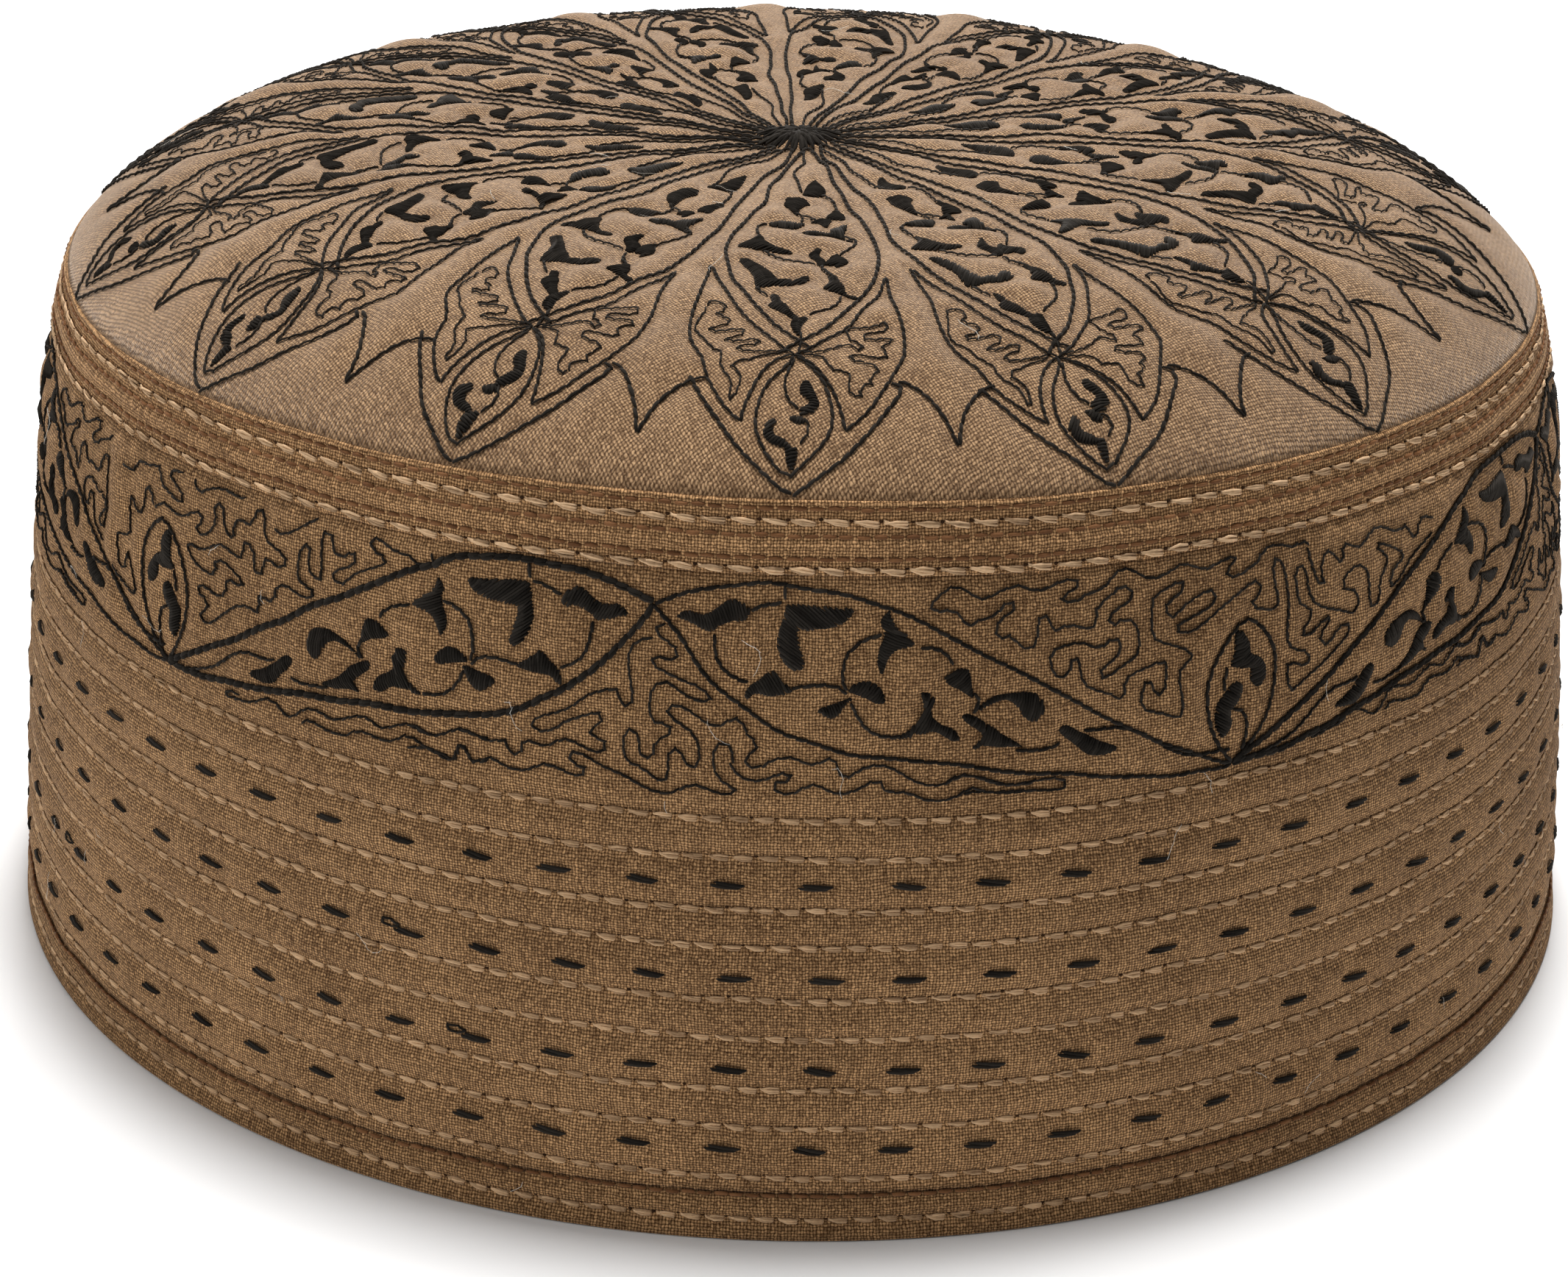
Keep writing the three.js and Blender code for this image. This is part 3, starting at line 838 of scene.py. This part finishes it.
def shader(name, base, roughness, sheen, gloss=0.15):
    """A new material, its shader node and the place on the object."""
    material = bpy.data.materials.new(name)
    material.use_nodes = True
    tree = material.node_tree
    principled = tree.nodes["Principled BSDF"]
    for socket, value in (
        ("Base Color", (*base, 1)),
        ("Roughness", roughness),
        ("Sheen Weight", sheen),
        ("Sheen Roughness", 0.45),
        ("Sheen Tint", (1.0, 0.86, 0.74, 1)),
        ("Specular IOR Level", gloss),
    ):
        principled.inputs[socket].default_value = value
    return material, principled, Value(tree, tree.nodes.new("ShaderNodeTexCoord").outputs["Object"])


def colour(principled, share, dark, light, relief, strength, distance):
    """Colours a shader from dark to light by one value, and roughens it by another."""
    mix = share.tree.nodes.new("ShaderNodeMix")
    mix.data_type = "RGBA"
    share.into(mix.inputs[0])
    mix.inputs[6].default_value = (*dark, 1)
    mix.inputs[7].default_value = (*light, 1)
    share.tree.links.new(mix.outputs[2], principled.inputs["Base Color"])
    bump = share.tree.nodes.new("ShaderNodeBump")
    bump.inputs["Strength"].default_value = strength
    bump.inputs["Distance"].default_value = distance
    relief.into(bump.inputs["Height"])
    share.tree.links.new(bump.outputs["Normal"], principled.inputs["Normal"])


WEAVE_PITCH = 0.335               # millimetres from one yarn to the next


def woven(name, dark, light, flat=False, sheen=0.08, turn=0.0):
    """Plain-woven wool: two sets of yarns that pass over and under, each yarn a little unlike the next, with
    painted shade in the gaps between the yarns.
    """
    material, principled, place = shader(name, light, 0.95, sheen)
    tree = place.tree
    split = tree.nodes.new("ShaderNodeSeparateXYZ")
    place.into(split.inputs[0])
    x, y, z = [Value(tree, socket) for socket in split.outputs]
    if flat:
        c, s = math.cos(turn), math.sin(turn)
        axes = (x * c + y * s, y * c - x * s)
    else:
        axes = (x.apply("ARCTAN2", y * -1.0) * (UNROLL * MM), z)
    yarns = []
    for axis, near, far in zip(axes, (1500.0, 1900.0), (150.0, 110.0)):
        count = axis.apply("DIVIDE", WEAVE_PITCH * MM)
        yarns.append(count + (place.noise(near) - 0.5) * 1.1 + (place.noise(far) - 0.5) * 2.2)
    waves = [(yarn * math.pi).apply("SINE") for yarn in yarns]
    full = [wave.apply("ABSOLUTE") for wave in waves]
    over = (waves[0] * waves[1]).apply("GREATER_THAN", 0.0)
    under = over * -1.0 + 1.0
    # The yarn on top gives more of the height than the one beneath
    above, beneath = 0.62, 0.38
    height = (full[0] * above + full[1] * beneath) * over + (full[1] * above + full[0] * beneath) * under
    counts = [yarn.apply("FLOOR") for yarn in yarns]
    tone = (counts[0].chance(3.0) * over + counts[1].chance(4.0) * under) * 0.3
    tone = tone + counts[0].chance(counts[1]) * 0.75 + (place.noise(60.0, 4.0) - 0.5) * 0.7
    fibre = (place.noise(4200.0, 3.0) - 0.5) * 0.7
    clamp = tree.nodes.new("ShaderNodeClamp")
    # The colour darkens with the yarns' height squared: painted shade in the gaps and where a yarn passes
    # under, and a painted highlight on the yarns' crowns
    ((tone * 0.85 + 0.3) * height.apply("POWER", 2.0) + fibre).into(clamp.inputs[0])
    share = Value(tree, clamp.outputs[0])
    colour(principled, share, dark, light, height + fibre * 0.5, 0.8, 0.00014)
    return material


def spun(name, dark, light, roughness, grain, sheen=0.05, gloss=0.15):
    """Sewing thread: fine filaments, each stitch a little lighter or darker than the next."""
    material, principled, place = shader(name, light, roughness, sheen, gloss)
    shade = place.tree.nodes.new("ShaderNodeAttribute")
    shade.attribute_name = "shade"
    fine = place.noise(grain, 3.0)
    share = Value(place.tree, shade.outputs["Fac"]) * 0.65 + fine * 0.5
    colour(principled, share, dark, light, fine, 0.6, 0.00008)
    return material


BAND_CLOTH = woven("band_wool", (0.062, 0.025, 0.007), (0.66, 0.385, 0.18))
CROWN_CLOTH = woven("crown_wool", (0.072, 0.031, 0.010), (0.60, 0.375, 0.20), flat=True, sheen=0.5, turn=0.6)
STRIP_CLOTH = woven("strip_wool", (0.075, 0.031, 0.009), (0.77, 0.445, 0.208))
HEM_CLOTH = woven("hem_wool", (0.058, 0.023, 0.006), (0.62, 0.36, 0.165))
TAN_THREAD = spun("tan_thread", (0.15, 0.078, 0.033), (0.74, 0.49, 0.28), 0.7, 3400.0)
PALE_THREAD = spun("pale_thread", (0.12, 0.062, 0.026), (0.86, 0.58, 0.34), 0.75, 2600.0)
BROWN_THREAD = spun("brown_thread", (0.09, 0.035, 0.012), (0.24, 0.11, 0.045), 0.8, 3000.0)
BLACK_THREAD = spun("black_thread", (0.006, 0.005, 0.004), (0.03, 0.0255, 0.021), 0.95, 3400.0, 0.05, 0.06)
# Near-black brown for the dark spindles in the needle holes: painted shade, where the holes would be in
# shadow
HOLE_SHADE = spun("hole_shade", (0.02, 0.009, 0.004), (0.05, 0.022, 0.009), 0.95, 3000.0, 0.0)
PALE_FIBRE = spun("pale_fibre", (0.55, 0.5, 0.42), (0.85, 0.82, 0.76), 0.7, 2000.0)


# Cloth pieces
BAND_COLUMNS = 660
CROWN_RINGS = 132
QUILTED_RINGS = 62
FRIEZE_RINGS = 26
STRIP_RINGS = 17
HEM_RINGS = 9


def revolved(name, profile, columns=BAND_COLUMNS):
    """A closed strip of cloth round the cap: profile gives rings of unrolled points and radii."""
    turn = np.linspace(-math.pi, math.pi, columns, endpoint=False)
    rings = [settled(ring(turn)) for ring in profile]
    count = len(rings)
    points = np.stack(rings, 0).reshape(-1, 3)
    i = np.arange(count)[:, None] * columns
    j = np.arange(columns)[None]
    after = (j + 1) % columns
    above = (i + columns) % (count * columns)
    faces = np.stack([i + j, i + after, above + after, above + j], -1).reshape(-1, 4)
    return make_mesh(name, points, [faces])


def quilted_ring(z, offset=0.0):
    """A ring on the band's outer face at a height, with the cloth's relief."""
    def ring(turn):
        flat = np.stack([turn * UNROLL, np.full_like(turn, z)], -1)
        return around(turn, cloth_radius(z) + offset + band_relief(flat), z)

    return ring


def plain_ring(r, z):
    return lambda turn: around(turn, r, z)


def cloth_rings(rows):
    """Plain rings at heights, each at an offset from the band's cloth."""
    return [plain_ring(cloth_radius(z) + offset, z) for z, offset in rows]


def side_band():
    """Outer face from the hem to the strip, let in under both, with a plain inside."""
    let_in = BINDING_WALL - BINDING_PROUD + SEAT_GAP
    foot, hem_edge = BINDING_WALL + SEAT_GAP, HEM_HEIGHT + 0.1
    strip_edge, top = STRIP_FOOT - 0.1, SEAM_HEIGHT - BINDING_WALL - SEAT_GAP
    quilted = np.linspace(hem_edge, TAN_ROWS[-1] + 1.0, QUILTED_RINGS)
    frieze = np.linspace(TAN_ROWS[-1] + 1.0, strip_edge, FRIEZE_RINGS)[1:]
    inside = np.linspace(top, foot, 6)
    return revolved("side_band_cloth", [
        plain_ring(cloth_radius(foot) - let_in, foot),
        plain_ring(cloth_radius(hem_edge) - let_in, hem_edge - 0.3),
        *[quilted_ring(z) for z in [*quilted, *frieze]],
        plain_ring(cloth_radius(strip_edge) - let_in, strip_edge + 0.3),
        plain_ring(cloth_radius(top) - let_in, top),
        *cloth_rings((z, -BAND_WALL) for z in inside),
    ])


def top_strip():
    """The strip over the joint: puffed between its rows, rolled over the band's top edge."""
    low, high = STRIP_FOOT, SEAM_HEIGHT
    back = BINDING_PROUD - BINDING_WALL
    rings = [plain_ring(cloth_radius(low) + back, low + 0.1), quilted_ring(low, BINDING_PROUD * 0.2)]
    rings += [quilted_ring(z, BINDING_PROUD) for z in np.linspace(low + 0.3, high - 0.9, STRIP_RINGS)]
    for inset, drop in ((0.1, 0.5), (0.4, 0.22), (0.9, 0.15), (1.6, 0.3), (BAND_WALL, 0.5)):
        rings.append(plain_ring(SEAM_RADIUS + BINDING_PROUD - inset, high - drop))
    for offset in (-BAND_WALL, back):
        rings.append(plain_ring(SEAM_RADIUS + offset, high - BINDING_WALL))
    return revolved("top_binding_cloth", rings)


def hem_strip():
    """The strip folded round the lower edge: rounded outside, flat where the cap stands."""
    proud = BINDING_PROUD
    inner_back = BAND_WALL + SEAT_GAP
    inner_face = inner_back + BINDING_WALL
    outer_back = proud - BINDING_WALL
    foot = ((0.0, 2.2), (0.0, 0.2), (0.1, 0.05), (0.3, 0.0), (0.7, 0.0))
    inside = ((HEM_HEIGHT, 0.25), (HEM_HEIGHT - 0.25, 0.0), (1.0, 0.0), (0.3, 0.2), (0.0, 0.7))
    return revolved("hem_binding_cloth", [
        *cloth_rings((z, proud - inset) for z, inset in foot),
        *[quilted_ring(z, proud) for z in np.linspace(1.15, HEM_HEIGHT - 0.25, HEM_RINGS)],
        quilted_ring(HEM_HEIGHT, proud * 0.3),
        *cloth_rings([
            (HEM_HEIGHT, outer_back),
            (BINDING_WALL, outer_back),
            (BINDING_WALL, -inner_back),
            (HEM_HEIGHT, -inner_back),
        ]),
        *cloth_rings((z, inset - inner_face) for z, inset in inside),
    ])


def crown_disc():
    """The puffed disc, its edge turned down inside the band, and its plain underside."""
    rings = CROWN_RINGS
    radii = CROWN_EDGE * np.arange(rings + 1) / rings
    flat = [np.zeros((1, 2))]
    for i in range(1, rings + 1):
        turn = np.arange(6 * i) * math.tau / (6 * i)
        flat.append(around(turn, radii[i], 0)[:, :2])
    first = np.concatenate([[0], 1 + 3 * np.arange(rings + 1) * (np.arange(rings + 1) + 1)])
    triangles = []
    for i in range(rings):
        inner, outer = (first[i], 6 * i), (first[i + 1], 6 * (i + 1))
        for side in range(6):
            k = np.arange(i + 1)
            out_a = outer[0] + (side * (i + 1) + k) % outer[1]
            out_b = outer[0] + (side * (i + 1) + k + 1) % outer[1]
            in_a = inner[0] + (side * i + k) % max(inner[1], 1)
            triangles.append(np.stack([in_a, out_a, out_b], -1))
            if i:
                in_b = inner[0] + (side * i + k[:-1] + 1) % inner[1]
                triangles.append(np.stack([in_a[:-1], out_b[:-1], in_b], -1))
    surface, _ = on_crown(np.concatenate(flat))
    columns = 6 * rings
    turn = np.arange(columns) * math.tau / columns
    inside = SEAM_RADIUS - BAND_WALL - SEAT_GAP
    allowance = cloth_radius(ALLOWANCE_FOOT) - BAND_WALL - SEAT_GAP
    under = [
        (CROWN_EDGE - 1.0, SEAM_HEIGHT - 1.3),
        (inside, SEAM_HEIGHT - 0.6),
        (allowance, ALLOWANCE_FOOT),
        (allowance - BINDING_WALL, ALLOWANCE_FOOT),
    ]
    skirts = [settled(plain_ring(r, z)(turn)) for r, z in under]
    for share in (0.985, 0.96, 0.93, 0.88, 0.8, 0.65, 0.45, 0.2):
        underside = around(turn, share * (inside - CROWN_WALL), 0.0)
        underside[:, 2] = crown_height(share * CROWN_EDGE, underside[:, 1]) - CROWN_WALL
        skirts.append(settled(underside))
    middle = settled(np.array([[0, 0, crown_height(0) - CROWN_WALL]]))
    points = np.concatenate([surface, *skirts, middle])
    edge = first[rings]
    starts = [edge] + [len(surface) + columns * n for n in range(len(skirts))]
    j = np.arange(columns)
    after = (j + 1) % columns
    quads = [np.stack([a + j, b + j, b + after, a + after], -1) for a, b in zip(starts[:-1], starts[1:])]
    last = np.full(columns, len(points) - 1)
    triangles.append(np.stack([starts[-1] + j, last, starts[-1] + after], -1))
    return make_mesh("crown_cloth", points, [np.concatenate(quads), np.concatenate(triangles)])


# What is sewn, before the cloth is made, because the thread shapes the cloth
frieze = sewn_curves(frieze_lines())
crown = sewn_curves(crown_lines())
LINE_WEIGHT = {"bold": 1.0, "fine": 0.9, "meander": 0.55, "stem": 0.8, "leaf": 0.6}
for relief, curves in ((band_relief, frieze), (crown_relief, crown)):
    for kind, group in curves.items():
        for curve in group:
            relief.mark(curve, LINE_WEIGHT[kind])


def row_line(height, start=-180.0, end=180.0, step=MARK_STEP):
    round_it = np.arange(start * TURN, end * TURN, step)
    return np.stack([round_it, np.full_like(round_it, height)], -1)


for height in TAN_ROWS + STRIP_ROWS:
    band_relief.mark(row_line(height), 1.3)
for height in BROWN_ROWS:
    band_relief.mark(row_line(height), 1.0)
DASH_LENGTH = 3.45
DASHES_ROUND = 64
for row in BLACK_ROWS:
    for k in range(DASHES_ROUND):
        centre = row["first"] + k * 360 / DASHES_ROUND
        half = DASH_LENGTH / 2 / TURN
        band_relief.mark(row_line(row["height"], centre - half, centre + half), 0.8)
band_relief.quilt(puff=0.4, groove=0.5, pillow=0.55, ripple=0.05)
crown_relief.quilt(puff=0.9, groove=0.4, pillow=0.9, ripple=0.12)

for make, node, slot, material in (
    (side_band, "side_band", "band_cloth", BAND_CLOTH),
    (top_strip, "top_binding", "top_binding_cloth", STRIP_CLOTH),
    (hem_strip, "hem_binding", "hem_binding_cloth", HEM_CLOTH),
    (crown_disc, "crown", "crown_cloth", CROWN_CLOTH),
):
    dress(make(), material)
    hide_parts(node)


# Rows of stitches round the band
TAN_PITCH = 2.6
PLIES = 3
PLY_WIDTH = 0.46                  # of the stitch's width
HOLE_HALF = 0.27                  # half the length of the painted shade in a needle's hole


def sewn_row(thread, height, pitch, width, rise, lift, gap, plies=PLIES, skew=0.0, shade_in_holes=None):
    """A row of single stitches, each of a few plies that cross, with painted shade in the needle's hole at
    its end.
    """
    count = round(math.tau * cloth_radius(height) / pitch)
    turn = (np.arange(count) + rng.uniform(0, 1)) * ROUND / count - ROUND / 2
    turn = turn + rng.normal(0, 0.06, count)
    length = (ROUND / count) * (1 - gap)
    drift = rng.normal(0, 0.05, count)
    for ply in range(plies):
        side = (ply - (plies - 1) / 2) * width
        askew = skew * rng.uniform(0.3, 1.7, count)
        a = np.stack([turn, height + drift + 0.2 * side + askew], -1)
        b = np.stack([turn + length, height + drift - 0.2 * side - askew], -1)
        start, out = on_band(a, lift)
        end, _ = on_band(b, lift)
        size = width * (PLY_WIDTH if plies > 1 else 1.0) * rng.uniform(0.85, 1.15, count)
        thread.add(start, end, out, size, rise - 0.07 * abs(side), 0.26 * side + rng.normal(0, 0.05, count))
    # A dark spindle sunk into each needle hole: painted shade where the hole is in shadow
    if shade_in_holes:
        middle = np.stack([turn - (ROUND / count) * gap / 2, height + drift + 0.12], -1)
        near, out = on_band(middle - [HOLE_HALF, 0], lift - 0.2)
        far, _ = on_band(middle + [HOLE_HALF, 0], lift - 0.2)
        shade_in_holes.add(near, far, out, 0.7 * rng.uniform(0.7, 1.2, count), 0.04)


BAND_ROW = {"pitch": TAN_PITCH, "width": 0.76, "rise": 0.2, "lift": 0.06, "gap": 0.1, "skew": 0.1}
HEM_ROW = {**BAND_ROW, "width": 0.8, "lift": 0.06 + BINDING_PROUD}
STRIP_ROW = {**HEM_ROW, "pitch": 3.05, "width": 0.74, "lift": 0.08 + BINDING_PROUD, "gap": 0.06, "skew": 0.17}
BROWN_ROW = {"pitch": 1.7, "width": 0.5, "rise": 0.06, "lift": 0.05 + BINDING_PROUD, "gap": 0.05, "plies": 1}
for part, sewn, slot, heights, row, material in (
    ("band", "quilting", "band_cloth", TAN_ROWS[1:], BAND_ROW, TAN_THREAD),
    ("hem", "stitches", "hem_binding_cloth", TAN_ROWS[:1], HEM_ROW, TAN_THREAD),
    ("strip", "stitches", "top_binding_cloth", STRIP_ROWS, STRIP_ROW, PALE_THREAD),
):
    # Each row's needle holes get dark spindles of painted shade
    stitches, shade_in_holes = Thread(4), Thread(3)
    for height in heights:
        sewn_row(stitches, height, **row, shade_in_holes=shade_in_holes)
    dress(stitches.mesh(f"{part}_{sewn}"), material)
    dress(shade_in_holes.mesh(f"{part}_needle_hole_shade"), HOLE_SHADE)
brown_low, brown_high = Thread(4), Thread(4)
for height in BROWN_ROWS:
    thread = brown_low if height < TAN_ROWS[-1] else brown_high
    sewn_row(thread, height, **BROWN_ROW)
dress(brown_low.mesh("hem_brown_stitches"), BROWN_THREAD)
dress(brown_high.mesh("strip_brown_stitches"), BROWN_THREAD)

dashes = Thread(5)
for row in BLACK_ROWS:
    turn = row["first"] + np.arange(DASHES_ROUND) * 360 / DASHES_ROUND + rng.normal(0, 0.12, DASHES_ROUND)
    turn = turn * TURN
    half = DASH_LENGTH / 2 * rng.uniform(0.92, 1.06, DASHES_ROUND)
    tilt = rng.normal(0.15, 0.07, DASHES_ROUND)
    for side in (-0.13, 0.13):
        slip = side * 1.6
        z = row["height"] + side
        start, out = on_band(np.stack([turn - half + slip, z + tilt], -1), 0.1)
        end, _ = on_band(np.stack([turn + half + slip, z - tilt], -1), 0.1)
        dashes.add(start, end, out, 0.46 * rng.uniform(0.9, 1.1, DASHES_ROUND), 0.2)
for loop in LOOPED_DASHES:
    angle = np.linspace(0, math.tau, 25)
    eye = np.stack([1.15 * np.cos(angle), 0.5 * np.sin(angle) - 0.25 * np.cos(angle)], -1)
    centre = [loop["turn"] * TURN, loop["height"] + 0.75]
    stitched(dashes, eye + centre, on_band, pitch=1.2, width=0.3, rise=0.12, lift=0.1)
dress(dashes.mesh("black_dashes"), BLACK_THREAD)

# Black embroidery
LINE_STYLE = {
    "bold": {"pitch": 1.45, "width": 0.54, "rise": 0.18},
    "fine": {"pitch": 1.35, "width": 0.46, "rise": 0.16},
    "meander": {"pitch": 1.1, "width": 0.36, "rise": 0.12},
    "stem": {"pitch": 1.25, "width": 0.46, "rise": 0.16},
}
for name, curves, place, slot, finer in (
    ("frieze", frieze, on_band, "band_cloth", 1.0),
    ("crown", crown, on_crown, "crown_cloth", 0.8),
):
    styles = {kind: {**style, "width": style["width"] * finer} for kind, style in LINE_STYLE.items()}
    for piece, kinds, sides in (("outlines", ("bold", "fine"), 4), ("meander", ("meander",), 3)):
        thread = Thread(sides)
        for kind in kinds:
            for curve in curves[kind]:
                stitched(thread, curve, place, **styles[kind], lift=0.12)
                if kind == "bold" and name == "frieze":
                    stitched(thread, curve + [0, 0.25], place, **styles[kind], lift=0.12)
        dress(thread.mesh(f"{name}_{piece}"), BLACK_THREAD)
    vine = Thread(3)
    for curve in curves["stem"]:
        stitched(vine, curve, place, **styles["stem"], lift=0.12)
    for outline in curves["leaf"]:
        satin(vine, outline, place, pitch=0.29, width=0.54, rise=0.1)
    dress(vine.mesh(f"{name}_vine"), BLACK_THREAD)

# Where all the petals' lines meet: short radial stitches over each other
KNOT_STITCHES = 150
hub = Thread(5)
spin = rng.uniform(0, math.tau, KNOT_STITCHES)
ray = around(spin, 1, 0)[:, :2]
inner_end = rng.uniform(0.0, 1.5, (KNOT_STITCHES, 1))
outer_end = rng.uniform(2.2, 5.6, (KNOT_STITCHES, 1))
near, out = on_crown(PATTERN_MIDDLE + ray * inner_end, 0.25)
far, _ = on_crown(PATTERN_MIDDLE + ray * outer_end, 0.1)
hub.add(near, far, out, 0.45, rng.uniform(0.1, 0.4, KNOT_STITCHES))
dress(hub.mesh("crown_hub"), BLACK_THREAD)

# A few pale hairs of lint
LINT = 90
HAIR_STEPS = 12
lint = Thread(3)
for k in range(LINT):
    length = rng.uniform(1.5, 6.0)
    heading = rng.uniform(0, math.tau)
    turn = heading + np.cumsum(rng.normal(0, 0.45, HAIR_STEPS))
    hair = np.cumsum(np.stack([np.cos(turn), np.sin(turn)], -1) * length / HAIR_STEPS, axis=0)
    if k % 3:
        hair = hair + [rng.uniform(-ROUND / 2, ROUND / 2), rng.uniform(4, SEAM_HEIGHT - 8)]
        place = on_band
    else:
        reach, spin = 78 * math.sqrt(rng.uniform()), rng.uniform(0, math.tau)
        hair = hair + [reach * math.cos(spin), reach * math.sin(spin)]
        place = on_crown
    lift = 0.35 + rng.uniform(0, 0.5)
    stitched(lint, hair, place, pitch=0.8, width=0.055, rise=0.0, slant=0.0, overlap=0.2, lift=lift)
dress(lint.mesh("lint"), PALE_FIBRE)

# Camera: where the photograph was taken from, in millimetres
CAMERA_PLACE = (-0.145, -475.735, 239.679)
CAMERA_AIM = (-1.31, 0.0, 27.3)
ROLL = 1.003                      # degrees, its right side up
LENS_PIXELS = 5774.5              # focal length in pixels of the photograph
PHOTO_WIDTH = 2131
SENSOR = 36.0


def photo_camera():
    data = bpy.data.cameras.new("camera")
    data.sensor_width = SENSOR
    data.lens = LENS_PIXELS / PHOTO_WIDTH * SENSOR
    data.clip_start, data.clip_end = 0.01, 20
    place, aim = Vector(CAMERA_PLACE) * MM, Vector(CAMERA_AIM) * MM
    level = (aim - place).to_track_quat("-Z", "Y").to_matrix()
    rolled = level @ Matrix.Rotation(math.radians(ROLL), 3, "Z")
    camera = bpy.data.objects.new("camera", data)
    camera.matrix_world = Matrix.Translation(place) @ rolled.to_4x4()
    bpy.context.scene.collection.objects.link(camera)
    bpy.context.scene.camera = camera


def studio():
    """White floor, a soft key light almost overhead, a low one from behind and a weak one from the left."""
    bpy.ops.mesh.primitive_plane_add(size=8.0, location=(0, 0, -0.00005))
    floor = bpy.context.object
    floor.name = "floor"
    material, _, _ = shader("floor_white", (0.9, 0.9, 0.9), 0.9, 0.0)
    floor.data.materials.append(material)
    for name, place, size, watts in (
        ("key", (0.035, 0.12, 1.3), 0.25, 16.7),
        ("behind", (0.1, 1.35, 0.45), 0.8, 18.0),
        ("left", (-1.0, -0.45, 0.6), 0.7, 3.6),
    ):
        data = bpy.data.lights.new(name, "AREA")
        data.size = size
        data.energy = watts
        lamp = bpy.data.objects.new(name, data)
        lamp.location = place
        lamp.rotation_euler = (Vector((0, 0, 0.05)) - Vector(place)).to_track_quat("-Z", "Y").to_euler()
        bpy.context.scene.collection.objects.link(lamp)
    world = bpy.data.worlds.new("studio")
    world.use_nodes = True
    world.node_tree.nodes["Background"].inputs["Color"].default_value = (1, 1, 1, 1)
    world.node_tree.nodes["Background"].inputs["Strength"].default_value = 0.24
    bpy.context.scene.world = world
    bpy.context.scene.view_settings.view_transform = "Standard"


photo_camera()
studio()
